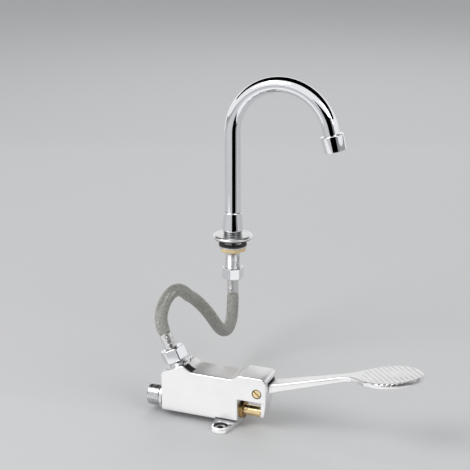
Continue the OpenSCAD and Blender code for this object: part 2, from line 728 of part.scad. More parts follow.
module pivot_pin() {
    color("gold") at_valve() difference() {
        union() {
            along_y(pivot_x, -half_w + 0.2, pivot_z) cylinder(r = pin_head_r, h = 2);
            along_y(pivot_x, -half_w + 2.1, pivot_z) cylinder(r = pin_r, h = body_w - 3.2);
        }
        translate([pivot_x, -half_w + 0.2, pivot_z]) rotate([0, 40, 0])
            cube([2 * pin_head_r + 1, 2, 1.1], center = true);
    }
}
module pivot_bushes() {
    color("white") at_valve() for (y = [-hub_w / 2, 1])
        along_y(pivot_x, y, pivot_z) pipe(bush_r, pin_r + run_gap, hub_w / 2 - 1);
}

spout_tube();
spout_tail();
tail_o_rings();
aerator_shell();
aerator_insert();
aerator_screen();
aerator_washer();
spout_collar();
swivel_ring();
deck_shank();
deck_flange();
deck_gasket();
clamp_washer();
clamp_plate();
lock_nut();
hose_braid();
hose_liner();
upper_ferrule();
upper_insert();
upper_nut();
upper_gasket();
lower_ferrule();
lower_insert();
lower_nut();
lower_gasket();
valve_body();
inlet_nipple();
inlet_gasket();
outlet_nipple();
outlet_gasket();
valve_seat();
valve_stem();
disc_holder();
seal_disc();
return_spring();
gland_nut();
gland_o_rings();
pedal_lever();
pivot_pin();
pivot_bushes();
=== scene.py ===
"""Foot pedal tap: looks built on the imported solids, in metres and in their frame.

Sizes are written in millimetres, as on a drawing, and turned to metres when a mesh is made.
"""

from __future__ import annotations

import json
import logging
import math
from dataclasses import dataclass
from enum import Enum
from typing import Callable, Sequence

import bpy
import numpy as np
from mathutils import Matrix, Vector

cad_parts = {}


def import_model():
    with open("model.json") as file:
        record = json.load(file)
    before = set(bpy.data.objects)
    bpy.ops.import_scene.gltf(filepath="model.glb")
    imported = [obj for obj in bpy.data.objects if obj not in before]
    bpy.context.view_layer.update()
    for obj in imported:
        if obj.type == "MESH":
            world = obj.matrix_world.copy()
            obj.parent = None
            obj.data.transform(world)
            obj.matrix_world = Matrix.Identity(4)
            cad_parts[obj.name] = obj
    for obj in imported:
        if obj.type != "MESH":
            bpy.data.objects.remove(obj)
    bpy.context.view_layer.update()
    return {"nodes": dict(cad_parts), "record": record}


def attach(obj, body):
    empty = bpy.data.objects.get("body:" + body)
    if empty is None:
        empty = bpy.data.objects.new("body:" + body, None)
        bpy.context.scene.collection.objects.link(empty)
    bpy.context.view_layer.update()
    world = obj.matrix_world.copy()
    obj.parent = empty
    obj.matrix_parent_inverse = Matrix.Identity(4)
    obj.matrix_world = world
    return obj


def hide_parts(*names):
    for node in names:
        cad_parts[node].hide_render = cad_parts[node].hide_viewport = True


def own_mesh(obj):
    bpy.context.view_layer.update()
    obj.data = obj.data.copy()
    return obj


LOG = logging.getLogger("pedal_tap")
MM = 0.001
TURN = 2 * math.pi
CRISP = 32.0  # degrees above which an edge stays sharp
EDGE_SHARE = 0.48  # the most of an edge that one rounded corner takes up
SAME_POINT = 1e-4  # closer points of an outline are one point
ROD_SIDES = 64  # sides of a round cutter
NUT_SIDES = 144  # steps in a turn of a hexagon, a multiple of its corners
NUT_END = (2.2, 0.4)  # the length of a nut's end, at most and as a share of its height
NUT_CONE = 0.9  # rise of the radius along a nut's end cone
NUT_EDGE = (0.3, 0.18)  # how far along and how deep a nut's end edge is broken

Array = np.ndarray
Point = tuple[float, float, float]
Corner = tuple[float, float, float]  # two coordinates of an outline and its rounding's setback
Spot = Point | Array
Bore = tuple[float, float, float]  # where it starts on its axis, its radius and its length
Piece = bpy.types.Object
Socket = bpy.types.NodeSocket
Relief = Callable[[Array, Array, Array], Array]  # a new radius from radius, angle and height
Lay = Callable[[Array, Array], Array]  # points in the model from an outline and a height


class Body(Enum):
    """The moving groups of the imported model."""

    BASE = "base"
    SPOUT = "spout"
    STEM = "stem"
    PEDAL = "pedal"


class Slot(Enum):
    """The record's material slots."""

    CHROME = "chrome"
    CAST = "cast_chrome"
    BRASS = "brass"
    RUBBER = "rubber"
    STEEL = "steel"
    BRAID = "braid"
    PLASTIC = "plastic"


# Arrays and outlines


def unit(v: Sequence[float] | Array) -> Array:
    """Scales vectors to length one along their last axis."""
    a = np.asarray(v, float)
    return a / np.linalg.norm(a, axis=-1, keepdims=True)


def smooth(t: Array) -> Array:
    """Eases from nothing to one: three times the square less twice the cube."""
    return t * t * (3 - 2 * t)


def ramp(x: Array, length: float) -> Array:
    """Rises evenly from nothing to one over a length."""
    return np.clip(x / length, 0, 1)


def rounded(points: Sequence[Sequence[float]], setback: float | Array, steps: int = 6) -> Array:
    """Rounds the corners of a closed outline.

    Each corner gives way to a parabola that starts and ends a setback away from it.

    Args:
        points: corners in order.
        setback: one length for every corner, or one for each.
        steps: points along each rounded corner.

    Returns:
        The outline as an N by 2 array with no repeated points.
    """
    p = np.asarray(points, float)
    a, b = np.roll(p, 1, 0) - p, np.roll(p, -1, 0) - p
    la, lb = np.linalg.norm(a, axis=1), np.linalg.norm(b, axis=1)
    s = np.minimum(np.broadcast_to(setback, la.shape), EDGE_SHARE * np.minimum(la, lb))[:, None]
    p0, p2 = p + a / la[:, None] * s, p + b / lb[:, None] * s
    t = np.linspace(0, 1, steps)[None, :, None]
    line = (1 - t) ** 2 * p0[:, None] + 2 * t * (1 - t) * p[:, None] + t * t * p2[:, None]
    line = line.reshape(-1, 2)
    return line[np.linalg.norm(line - np.roll(line, 1, 0), axis=1) > SAME_POINT]


def refined(line: Array, step: float) -> Array:
    """Adds points to a closed outline, evenly along each edge.

    Args:
        line: N by 2 points.
        step: the most between two points.

    Returns:
        The outline with its own points and the added ones.
    """
    nxt = np.roll(line, -1, 0)
    n = np.maximum(1, np.ceil(np.linalg.norm(nxt - line, axis=1) / step)).astype(int)
    start = np.repeat(np.arange(len(line)), n)
    t = (np.arange(n.sum()) - np.repeat(np.cumsum(n) - n, n)) / np.repeat(n, n)
    return line[start] + (nxt - line)[start] * t[:, None]


def outline(corners: Sequence[Corner], steps: int = 6, step: float | None = None) -> Array:
    """Makes a closed outline from corners that each say how far off their rounding starts.

    Args:
        corners: two coordinates and a setback for each corner.
        steps: points along each rounded corner.
        step: the most between two points, where straight lengths need points too.

    Returns:
        The outline as an N by 2 array.
    """
    c = np.asarray(corners, float)
    line = rounded(c[:, :2], c[:, 2], steps)
    return line if step is None else refined(line, step)


def arc(cx: float, cy: float, r: float, a0: float, a1: float, steps: int) -> list[list[float]]:
    """Points on a circle from angle a0 to a1, in degrees."""
    a = np.radians(np.linspace(a0, a1, steps))
    return np.stack([cx + r * np.cos(a), cy + r * np.sin(a)], 1).tolist()


# Meshes


def grid_faces(rows: int, ring: int, closed: bool) -> Array:
    """Four-sided faces between rows of points, each row a ring.

    Args:
        rows: how many rows.
        ring: points in a row.
        closed: joins the last row to the first.

    Returns:
        M by 4 point numbers.
    """
    i, j = np.meshgrid(np.arange(rows if closed else rows - 1), np.arange(ring), indexing="ij")
    i, j = i.ravel(), j.ravel()
    i1, j1 = (i + 1) % rows, (j + 1) % ring
    return np.stack([i * ring + j, i * ring + j1, i1 * ring + j1, i1 * ring + j], 1)


def inside_out(verts: Array, faces: Array, caps: Sequence[Sequence[int]]) -> bool:
    """Tells whether a closed mesh encloses a negative volume.

    The volume is the sum of the triple products of its triangles, with caps fanned from their first point.

    Args:
        verts: N by 3 points.
        faces: M by 4 point numbers.
        caps: further faces.

    Returns:
        True where the faces point inwards.
    """
    tri = [faces[:, [0, 1, 2]], faces[:, [0, 2, 3]]]
    for cap in caps:
        c = np.asarray(cap)
        tri.append(np.stack([np.full(len(c) - 2, c[0]), c[1:-1], c[2:]], 1))
    a, b, c = (verts[np.concatenate(tri)[:, k]] - verts.mean(0) for k in range(3))
    return float(np.einsum("ij,ij->i", a, np.cross(b, c)).sum()) < 0


def linked(name: str, data: bpy.types.ID) -> Piece:
    """Puts a mesh, lamp or camera into the scene.

    Args:
        name: object name.
        data: what the object shows.

    Returns:
        The new object, at the origin.
    """
    obj = bpy.data.objects.new(name, data)
    bpy.context.scene.collection.objects.link(obj)
    return obj


def shade(mesh: bpy.types.Mesh, sharp: float) -> None:
    """Shades a mesh smooth, with crisp edges above an angle in degrees."""
    mesh.shade_smooth()
    mesh.set_sharp_from_angle(angle=math.radians(sharp))


def mesh_piece(name: str, grid: Array, closed: bool = False, sharp: float = CRISP) -> Piece:
    """Makes a smooth-shaded object at the origin from rings of points in millimetres.

    Args:
        name: object name.
        grid: rows by ring by 3 points.
        closed: joins the last row to the first; otherwise a flat face closes each end.
        sharp: angle in degrees above which an edge stays crisp.

    Returns:
        The new object, linked to the scene.
    """
    rows, ring = grid.shape[:2]
    verts, faces = grid.reshape(-1, 3), grid_faces(rows, ring, closed)
    caps = [] if closed else [list(range(ring))[::-1], list(range((rows - 1) * ring, rows * ring))]
    if inside_out(verts, faces, caps):
        faces, caps = faces[:, ::-1], [cap[::-1] for cap in caps]
    mesh = bpy.data.meshes.new(name)
    mesh.from_pydata((verts * MM).tolist(), [], faces.tolist() + caps)
    mesh.validate()
    shade(mesh, sharp)
    return linked(name, mesh)


def quad(name: str, corners: Sequence[Sequence[float]] | Array) -> Piece:
    """Makes one flat face.

    Args:
        name: object name.
        corners: its four corners in millimetres.

    Returns:
        The new object, linked to the scene.
    """
    mesh = bpy.data.meshes.new(name)
    mesh.from_pydata((np.asarray(corners, float) * MM).tolist(), [], [[0, 1, 2, 3]])
    return linked(name, mesh)


@dataclass(frozen=True)
class Place:
    """Where a turned piece stands: a point on its axis, the axis, and where angle zero is."""

    at: Point
    axis: Point = (0.0, 0.0, 1.0)
    zero: Point = (1.0, 0.0, 0.0)

    def world(self, radius: Array, angle: Array, along: Array) -> Array:
        """Turns radius, angle in radians and distance along the axis into points.

        Args:
            radius: distances from the axis.
            angle: turns about the axis.
            along: distances from the point, along the axis.

        Returns:
            Points with a last axis of three.
        """
        k = unit(self.axis)
        u = np.asarray(self.zero, float)
        u = unit(u - k * (u @ k))
        v = np.cross(k, u)
        c, s = (radius * np.cos(angle))[..., None], (radius * np.sin(angle))[..., None]
        return np.asarray(self.at, float) + c * u + s * v + np.asarray(along)[..., None] * k


@dataclass(frozen=True)
class Thread:
    """A helical groove cut into a turned piece between two places on its axis."""

    start: float
    end: float
    pitch: float
    depth: float
    run_out: float = 0.6
    fullness: float = 1.25
    crest: float = 0.12

    def cut(self, along: Array, angle: Array) -> Array:
        """Depth of the groove: a clipped cosine of the height less the turn, fading at both ends.

        Args:
            along: distances along the axis.
            angle: turns about it.

        Returns:
            Depths, nothing outside the thread.
        """
        phase = (along / self.pitch - angle / TURN) % 1.0
        groove = np.clip(self.fullness * (0.5 + 0.5 * np.cos(TURN * phase)) - self.crest, 0, 1)
        fade = ramp(along - self.start, self.run_out) * ramp(self.end - along, self.run_out)
        return self.depth * groove * fade


def turned(
    name: str,
    place: Place,
    line: Array,
    segments: int = 96,
    thread: Thread | None = None,
    relief: Relief | None = None,
) -> Piece:
    """Turns a closed outline of radius and height about an axis.

    A point is the outline's radius, less any thread or relief, at each angle of a full turn.

    Args:
        name: object name.
        place: where the axis is.
        line: N by 2 radius and distance along the axis, a closed loop off the axis.
        segments: steps in a turn.
        thread: a helical groove on the outer wall.
        relief: a function of radius, angle and height that gives a new radius.

    Returns:
        The new object.
    """
    angle = np.linspace(0, TURN, segments, endpoint=False)
    r, a = np.meshgrid(line[:, 0], angle, indexing="ij")
    s = np.broadcast_to(line[:, 1][:, None], r.shape)
    if thread is not None:
        outer = line[:, 0] > 0.5 * line[:, 0].max()
        r = r - np.where(outer[:, None], thread.cut(s, a), 0.0)
    if relief is not None:
        r = relief(r, a, s)
    return mesh_piece(name, place.world(r, a, s), closed=True)


def hexagon(flats: float, angle: Array, turn: float, soft: float = 0.35) -> Array:
    """Radius of a hexagon with softened corners: the flat's distance over the cosine to its middle.

    Args:
        flats: width across flats.
        angle: turns about the axis.
        turn: angle of a flat's middle, in radians.
        soft: how far the corners are rounded off.

    Returns:
        A radius for each angle.
    """
    off = (angle - turn + math.pi / 6) % (math.pi / 3) - math.pi / 6
    sharp = flats / 2 / np.cos(off)
    top = flats / math.sqrt(3) - soft
    return np.minimum(sharp, top + soft * (1 - np.exp(-np.maximum(sharp - top, 0) / soft)))


def hex_nut(
    name: str,
    place: Place,
    flats: float,
    height: float,
    hole: Array,
    chamfer: tuple[float, float],
    turn: float,
) -> Piece:
    """Makes a hexagon nut with both ends turned down to a cone.

    The outer radius is the smaller of the hexagon's and the two end cones'; the hole is a turned outline.

    Args:
        name: object name.
        place: nut axis, starting at its lower face.
        flats: width across flats.
        height: length along the axis.
        hole: radius and height of the hole's outline, from the top face down.
        chamfer: how far each end cone cuts back from the corners.
        turn: angle of a flat's middle, in radians.

    Returns:
        The new object.
    """
    corner = flats / math.sqrt(3)
    end = min(NUT_END[0], NUT_END[1] * height)
    ends = np.linspace(0, end, 12), np.linspace(height - end, height, 12)
    rise = np.concatenate([ends[0], np.linspace(end, height - end, 8)[1:-1], ends[1]])
    cones = [corner - cut + NUT_CONE * far for cut, far in zip(chamfer, (rise, height - rise))]
    cone = np.minimum(np.minimum(*cones), corner + 1)
    n = len(rise)

    def flatten(r: Array, a: Array, s: Array) -> Array:
        """Cuts the hexagon out of the turned outer wall and breaks its end edges.

        Args:
            r: radii of the turned outline.
            a: angles.
            s: heights.

        Returns:
            The nut's radii.
        """
        out = r.copy()
        out[:n] = np.minimum(hexagon(flats, a[:n], turn), r[:n])
        edge = ramp(np.minimum(s[:n], height - s[:n]), NUT_EDGE[0])
        out[:n] -= NUT_EDGE[1] * (1 - edge)
        return out

    line = np.concatenate([np.stack([cone, rise], 1), hole])
    return turned(name, place, line, NUT_SIDES, relief=flatten)


def swept(name: str, path: Array, radius: Array, ring: int) -> Piece:
    """Carries a ring along a path.

    Each point is the path plus the radius along two directions square to it.

    Args:
        name: object name.
        path: N by 3 centreline points.
        radius: N by ring radii, or N by 1.
        ring: points round the path.

    Returns:
        The new object.
    """
    t = unit(np.gradient(path, axis=0))
    u = unit(np.cross(t, np.array([1.0, 0.0, 0.0])))
    v = np.cross(t, u)
    a = np.linspace(0, TURN, ring, endpoint=False)[None, :, None]
    r = np.broadcast_to(radius, (len(path), ring))[..., None]
    return mesh_piece(name, path[:, None] + r * (np.cos(a) * u[:, None] + np.sin(a) * v[:, None]))


def slab(
    name: str, line: Array, faces: tuple[float, float], edge: float, lay: Lay, steps: int = 5
) -> Piece:
    """Makes a plate from an outline, with its rim rounded on both faces.

    Rings of the outline are drawn in by the edge's quarter circle at each face and closed by two flat caps.

    Args:
        name: object name.
        line: N by 2 closed outline, anticlockwise.
        faces: heights of the lower and the upper face.
        edge: radius of the rim.
        lay: turns outline points and heights into points in the model.
        steps: rings in each rounded rim.

    Returns:
        The new object.
    """
    low, high = faces
    nxt, prv = unit(np.roll(line, -1, 0) - line), unit(line - np.roll(line, 1, 0))
    na, nb = np.stack([nxt[:, 1], -nxt[:, 0]], 1), np.stack([prv[:, 1], -prv[:, 0]], 1)
    n = unit(na + nb)
    n = n / np.maximum(0.5, np.einsum("ij,ij->i", n, na))[:, None]
    q = np.linspace(0, math.pi / 2, steps)
    inset = np.concatenate([edge * (1 - np.sin(q)), edge * (1 - np.sin(q[::-1]))])
    height = np.concatenate([low + edge * (1 - np.cos(q)), high - edge * (1 - np.cos(q[::-1]))])
    flat = line[None] - inset[:, None, None] * n[None]
    return mesh_piece(name, lay(flat, np.broadcast_to(height[:, None], flat.shape[:2])))


def standing(base: Point) -> Lay:
    """Gives the rule that stands a side outline, x across and z up, at a base point.

    Args:
        base: the outline's origin in the model.

    Returns:
        A function of outline points and distances across.
    """

    def lay(flat: Array, y: Array) -> Array:
        """Puts outline points at their distances across."""
        return np.asarray(base) + np.stack([flat[..., 0], y, flat[..., 1]], -1)

    return lay


def rod(name: str, place: Place, radius: float, length: float) -> Piece:
    """Makes a plain round cutter: a circle carried along an axis.

    Args:
        name: object name.
        place: axis, from the cutter's start.
        radius: its radius.
        length: its length.

    Returns:
        The new object.
    """
    angle = np.linspace(0, TURN, ROD_SIDES, endpoint=False)
    along = np.broadcast_to([[0.0], [length]], (2, ROD_SIDES))
    return mesh_piece(name, place.world(np.full((2, ROD_SIDES), radius), np.stack([angle, angle]), along))


def drill(name: str, axis: Callable[[float], Place], bore: Bore) -> Piece:
    """Makes a round cutter that starts at a bore's place on an axis."""
    return rod(name, axis(bore[0]), *bore[1:])


def block(name: str, place: Place, low: Point, high: Point) -> Piece:
    """Makes a plain square cutter between two corners of a frame.

    Args:
        name: object name.
        place: the frame: its origin, its third axis and its first.
        low: lowest corner.
        high: highest corner.

    Returns:
        The new object.
    """
    lo, hi = np.asarray(low, float), np.asarray(high, float)
    sx, sy = np.array([0, 1, 1, 0]), np.array([0, 0, 1, 1])
    flat = np.stack([lo[0] + sx * (hi[0] - lo[0]), lo[1] + sy * (hi[1] - lo[1])], 1)
    pts = np.concatenate([np.c_[flat, np.full(4, z)] for z in (lo[2], hi[2])])
    k, u = unit(place.axis), unit(place.zero)
    pts = np.asarray(place.at) + pts[:, :1] * u + pts[:, 1:2] * np.cross(k, u) + pts[:, 2:] * k
    return mesh_piece(name, pts.reshape(2, 4, 3))


def carve(obj: Piece, tools: Sequence[Piece], join: bool = False, cut_finish: int = 0) -> None:
    """Cuts tools out of a piece, or joins them to it, and removes the tools.

    Args:
        obj: the piece to change.
        tools: closed meshes.
        join: joins them in place of cutting.
        cut_finish: which of the piece's finishes the cut faces take; on the casting the second one is
            painted shade.
    """
    for tool in tools:
        faces = tool.data.polygons
        faces.foreach_set("material_index", np.full(len(faces), cut_finish, dtype=np.int32))
        mod = obj.modifiers.new("carve", "BOOLEAN")
        mod.operation = "UNION" if join else "DIFFERENCE"
        mod.solver = "EXACT"
        mod.object = tool
        bpy.context.view_layer.update()
        done = bpy.data.meshes.new_from_object(obj.evaluated_get(bpy.context.evaluated_depsgraph_get()))
        obj.modifiers.clear()
        if len(done.polygons):
            obj.data = done
        else:
            LOG.warning("%s left %s empty and was not used", tool.name, obj.name)
        bpy.data.objects.remove(tool)
    shade(obj.data, CRISP)


# Finishes


class Nodes:
    """A short hand for laying out one material's or group's nodes."""

    def __init__(self, tree: bpy.types.NodeTree) -> None:
        """Keeps the tree that nodes go into."""
        self.tree = tree

    def add(self, kind: str, **values: object) -> bpy.types.Node:
        """Adds a node, setting sockets by name and other values as attributes.

        Args:
            kind: the node's type name.
            values: socket or attribute values; an underscore in a socket's name stands for a space.

        Returns:
            The node.
        """
        node = self.tree.nodes.new(kind)
        for key, value in values.items():
            if hasattr(node, key):
                setattr(node, key, value)
            else:
                self.feed(node.inputs[key.replace("_", " ")], value)
        return node

    def feed(self, socket: Socket, value: object) -> None:
        """Links a socket to another, or sets its value.

        Args:
            socket: the input.
            value: an output of another node, or a plain value.
        """
        if isinstance(value, Socket):
            self.tree.links.new(value, socket)
        else:
            socket.default_value = value

    def math(self, op: str, a: object, b: object = 0.0, clamp: bool = False) -> Socket:
        """Adds one Math node.

        Args:
            op: the operation.
            a: first value or socket.
            b: second value or socket.
            clamp: keeps the result between nothing and one.

        Returns:
            Its result.
        """
        node = self.add("ShaderNodeMath", operation=op, use_clamp=clamp)
        self.feed(node.inputs[0], a)
        self.feed(node.inputs[1], b)
        return node.outputs[0]

    def linear(self, value: Socket, gain: float, base: float) -> Socket:
        """A value times a gain, plus a base."""
        return self.math("ADD", self.math("MULTIPLY", value, gain), base)

    def mix(self, factor: Socket, a: Point, b: Point) -> Socket:
        """Mixes two colours by a mask.

        Args:
            factor: the mask.
            a: colour where the mask is nothing.
            b: colour where it is one.

        Returns:
            The colour.
        """
        node = self.add("ShaderNodeMix", data_type="RGBA")
        self.feed(node.inputs[0], factor)
        node.inputs[6].default_value = (*a, 1)
        node.inputs[7].default_value = (*b, 1)
        return node.outputs[2]

    def noise(self, vector: Socket, scale: float, detail: float = 2.0, rough: float = 0.5) -> Socket:
        """A noise value at so many cells a metre."""
        node = self.add("ShaderNodeTexNoise", Vector=vector, Scale=scale, Detail=detail, Roughness=rough)
        return node.outputs[0]

    def stretch(self, vector: Socket, scale: Point, turn: Point) -> Socket:
        """Scales and turns a coordinate."""
        return self.add("ShaderNodeMapping", Vector=vector, Scale=scale, Rotation=turn).outputs[0]


SCRATCHES = (
    ((1600, 60, 90), (0.3, 0.2, 0.5), 0.71),
    ((70, 1500, 80), (0.1, 0.6, -0.4), 0.72),
)


def wear_group() -> bpy.types.NodeTree:
    """Handling marks that every hard finish shares.

    Returns:
        A group with inputs Size and Scratch and outputs Smudge, a soft mask, and Height, a mix of
        fine crossing scratches and a slow ripple.
    """
    found = bpy.data.node_groups.get("handling_marks")
    if found:
        return found
    tree = bpy.data.node_groups.new("handling_marks", "ShaderNodeTree")
    for name, usual in (("Size", 1.0), ("Scratch", 0.5)):
        socket = tree.interface.new_socket(name=name, in_out="INPUT", socket_type="NodeSocketFloat")
        socket.default_value = usual
    for name in ("Smudge", "Height"):
        tree.interface.new_socket(name=name, in_out="OUTPUT", socket_type="NodeSocketFloat")
    n = Nodes(tree)
    inp, out = n.add("NodeGroupInput"), n.add("NodeGroupOutput")
    coord = n.add("ShaderNodeTexCoord").outputs["Object"]
    sized = n.add("ShaderNodeVectorMath", operation="SCALE", Vector=coord, Scale=inp.outputs["Size"])
    at = sized.outputs[0]
    n.feed(out.inputs["Smudge"], n.math("POWER", n.noise(at, 70.0, 4.0, 0.6), 1.6, True))
    crossing = [
        n.math("GREATER_THAN", n.noise(n.stretch(at, scale, turn), 1.0, 1.0), share)
        for scale, turn, share in SCRATCHES
    ]
    lines = n.math("MULTIPLY", n.math("ADD", *crossing), inp.outputs["Scratch"])
    n.feed(out.inputs["Height"], n.math("SUBTRACT", n.noise(at, 160.0, 1.0), lines))
    return tree


@dataclass(frozen=True)
class Finish:
    """A finish with its colour, a second colour where it is handled, gloss and relief.

    Lathe is turning marks in rings a metre, mottle is how much the second colour comes through in
    small spots, and weave takes the pattern from the piece's own map; on a weave the first colour is
    painted shade in the gaps and the second the strands' painted highlight.
    """

    name: str
    slot: Slot
    colour: Point
    worn_and_lit_colour: Point
    gloss: tuple[float, float]
    metallic: float = 1.0
    bump: float = 0.1
    scratch: float = 0.3
    size: float = 1.0
    lathe: float = 0.0
    mottle: float = 0.0
    weave: bool = False

    def material(self) -> bpy.types.Material:
        """Builds the material once.

        Returns:
            The material, shared by every piece with this finish.
        """
        found = bpy.data.materials.get(self.name)
        if found:
            return found
        mat = bpy.data.materials.new(self.name)
        mat.use_nodes = True
        mat.node_tree.nodes.clear()
        n = Nodes(mat.node_tree)
        marks = n.add("ShaderNodeGroup", node_tree=wear_group(), Size=self.size, Scratch=self.scratch)
        smudge, height = marks.outputs["Smudge"], marks.outputs["Height"]
        mask = smudge
        coord = n.add("ShaderNodeTexCoord").outputs["Object"]
        if self.mottle:
            spots = n.math("MULTIPLY", n.noise(coord, 420.0, 3.0), self.mottle)
            mask = n.math("ADD", mask, spots, True)
        if self.lathe:
            rings = n.add("ShaderNodeTexWave", Vector=coord, Scale=self.lathe, Distortion=1.5, Detail=2.0)
            height = n.math("ADD", height, n.math("MULTIPLY", rings.outputs[1], 0.6))
        # On a weave the colour mask is painted light: shade in the gaps and at strand edges, highlight on
        # wire tops and random glints.
        if self.weave:
            wires, lay, glint = self.woven(n)
            mask = n.math("MULTIPLY", lay, n.math("ADD", glint, 0.26), True)
            height = n.math("ADD", wires, n.math("MULTIPLY", lay, 1.5))
        low, high = self.gloss
        bump = n.add("ShaderNodeBump", Strength=self.bump, Distance=0.0002, Height=height)
        bsdf = n.add(
            "ShaderNodeBsdfPrincipled",
            Metallic=self.metallic,
            Base_Color=n.mix(mask, self.colour, self.worn_and_lit_colour),
            Roughness=n.linear(smudge, high - low, low),
            Normal=bump.outputs[0],
        )
        n.feed(n.add("ShaderNodeOutputMaterial").inputs[0], bsdf.outputs[0])
        return mat

    def woven(self, n: Nodes) -> tuple[Socket, Socket, Socket]:
        """Wires and strands of a two-over two-under weave, from the piece's own map.

        Each strand is a flat bundle of five wires; the strand on top at a crossing is the one whose
        place in a pattern of four says so, and the gaps beside it are painted dark as shade.

        Args:
            n: the material's nodes.

        Returns:
            The wires' height, a mask of painted light that is one on a strand's top, falls off with painted
            shade to its edges and is nothing in a gap, and a painted glint on each half strand at a
            crossing, which differs at random from one to the next.
        """
        split = n.add("ShaderNodeSeparateXYZ", Vector=n.add("ShaderNodeUVMap", uv_map="weave").outputs[0])
        axes = split.outputs[0], split.outputs[1]
        place = n.math("FLOORED_MODULO", n.math("ADD", *(n.math("FLOOR", axis) for axis in axes)), 4.0)
        over = n.math("LESS_THAN", place, 1.5)
        on_top = over, n.math("SUBTRACT", 1.0, over)
        wire, bundle = [], []
        for axis, top in zip(axes, on_top):
            one, five = (n.math("SINE", n.math("MULTIPLY", axis, k * math.pi)) for k in (1, 5))
            wire.append(n.math("MULTIPLY", n.math("ABSOLUTE", five), top))
            bundle.append(n.math("MULTIPLY", n.math("POWER", n.math("ABSOLUTE", one), 0.45), top))
        wires = n.math("ADD", *wire)
        # Painted shade: darker towards each strand's edges and between its wires, lighter on wire tops.
        strand = n.math("MULTIPLY", n.math("ADD", *bundle), n.linear(wires, 0.45, 0.6), True)
        # Painted glint: a random brightness for each half strand.
        halves = [n.math("FLOOR", n.math("MULTIPLY", axis, 2.0)) for axis in axes]
        cell = n.add("ShaderNodeCombineXYZ", X=halves[0], Y=halves[1]).outputs[0]
        glint = n.add("ShaderNodeTexWhiteNoise", noise_dimensions="2D", Vector=cell).outputs["Value"]
        return wires, strand, glint

    def dress(self, obj: Piece) -> Piece:
        """Puts the finish on a piece that has none.

        Args:
            obj: the piece.

        Returns:
            The same piece.
        """
        if not obj.data.materials:
            obj.data.materials.append(self.material())
        return obj


POLISHED = Finish(
    "polished_chrome", Slot.CHROME, (0.86, 0.87, 0.89), (0.80, 0.81, 0.84), (0.025, 0.075),
    bump=0.03, scratch=0.2,
)
SATIN = Finish(
    "satin_chrome", Slot.CHROME, (0.90, 0.905, 0.91), (0.80, 0.805, 0.81), (0.26, 0.38),
    bump=0.15, scratch=0.2, mottle=0.3,
)
MACHINED = Finish(
    "machined_thread", Slot.CHROME, (0.77, 0.775, 0.785), (0.62, 0.625, 0.635), (0.12, 0.24), size=1.2
)
# Dark grey: painted shade for the neck's ribs in the gap between the cover plate and the collar.
SHADED_RIBS = Finish(
    "ribbed_neck_painted_shade", Slot.CHROME, (0.34, 0.34, 0.345), (0.22, 0.22, 0.225), (0.18, 0.30), size=1.2
)
CASTING = Finish(
    "plated_casting", Slot.CAST, (0.93, 0.93, 0.935), (0.86, 0.86, 0.87), (0.27, 0.38),
    bump=0.2, scratch=0.15, size=0.8, mottle=0.25,
)
# Near-black painted shade for the casting's cut faces, on rougher unplated metal.
SHADED_CUTS = Finish(
    "raw_casting_painted_shade", Slot.CAST, (0.10, 0.098, 0.095), (0.17, 0.165, 0.16), (0.5, 0.65),
    metallic=0.9, bump=0.4, scratch=0.2, size=2.0, mottle=0.3,
)
BRASS = Finish(
    "turned_brass", Slot.BRASS, (0.90, 0.73, 0.44), (0.70, 0.51, 0.26), (0.16, 0.30),
    bump=0.2, size=1.2, lathe=900.0,
)
# Dark brass: painted shade for the gland, which sits shadowed in the window.
SHADED_BRASS = Finish(
    "brass_painted_shade", Slot.BRASS, (0.30, 0.19, 0.08), (0.46, 0.32, 0.15), (0.28, 0.45),
    bump=0.3, size=1.6, lathe=700.0,
)
RUBBER = Finish(
    "black_rubber", Slot.RUBBER, (0.018, 0.018, 0.019), (0.045, 0.045, 0.045), (0.45, 0.7),
    metallic=0.0, bump=0.3, scratch=0.2, size=2.0, mottle=0.3,
)
STEEL = Finish(
    "bright_steel", Slot.STEEL, (0.74, 0.74, 0.74), (0.58, 0.58, 0.58), (0.24, 0.38),
    bump=0.12, scratch=0.5, size=1.4,
)
# The dark colour is painted shade in the gaps; the lighter one is the strands' painted highlight.
BRAID = Finish(
    "woven_steel", Slot.BRAID, (0.20, 0.20, 0.19), (0.68, 0.675, 0.63), (0.36, 0.5),
    metallic=0.8, bump=0.6, scratch=0.0, weave=True,
)
PLASTIC = Finish(
    "white_acetal", Slot.PLASTIC, (0.78, 0.78, 0.75), (0.70, 0.70, 0.66), (0.3, 0.45),
    metallic=0.0, scratch=0.1, size=1.5,
)
FINISHES = {f.slot: f for f in (POLISHED, CASTING, BRASS, RUBBER, STEEL, BRAID, PLASTIC)}


def place_piece(obj: Piece, finish: Finish, body: Body, *nodes: str) -> Piece:
    """Dresses a piece, puts it on its body and lets it stand for its solids.

    Args:
        obj: the piece.
        finish: its finish.
        body: the group that it moves with.
        nodes: the solids that it replaces.

    Returns:
        The same piece.
    """
    finish.dress(obj)
    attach(obj, body.value)
    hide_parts(*nodes)
    LOG.info("%s rides on %s for %s", obj.name, body.value, ", ".join(nodes))
    return obj


# Sub-assemblies

VALVE_AT: Point = (25.0, -140.0, -114.0)  # the valve's own origin, on its bore
PIVOT = (60.3, 23.4)  # the pedal's pivot from there, along the bore and up
SHANK_R = 8.331  # radius of a three-eighths pipe thread
SHANK_PITCH = 1.337
INLET_R = 10.4775  # radius of a half-inch pipe thread
INLET_PITCH = 1.814
ORIGIN = Place((0, 0, 0))


def pin_axis(y: float) -> Place:
    """The pedal's pivot from a distance across."""
    return Place((VALVE_AT[0] + PIVOT[0], VALVE_AT[1] + y, VALVE_AT[2] + PIVOT[1]), (0, 1, 0))


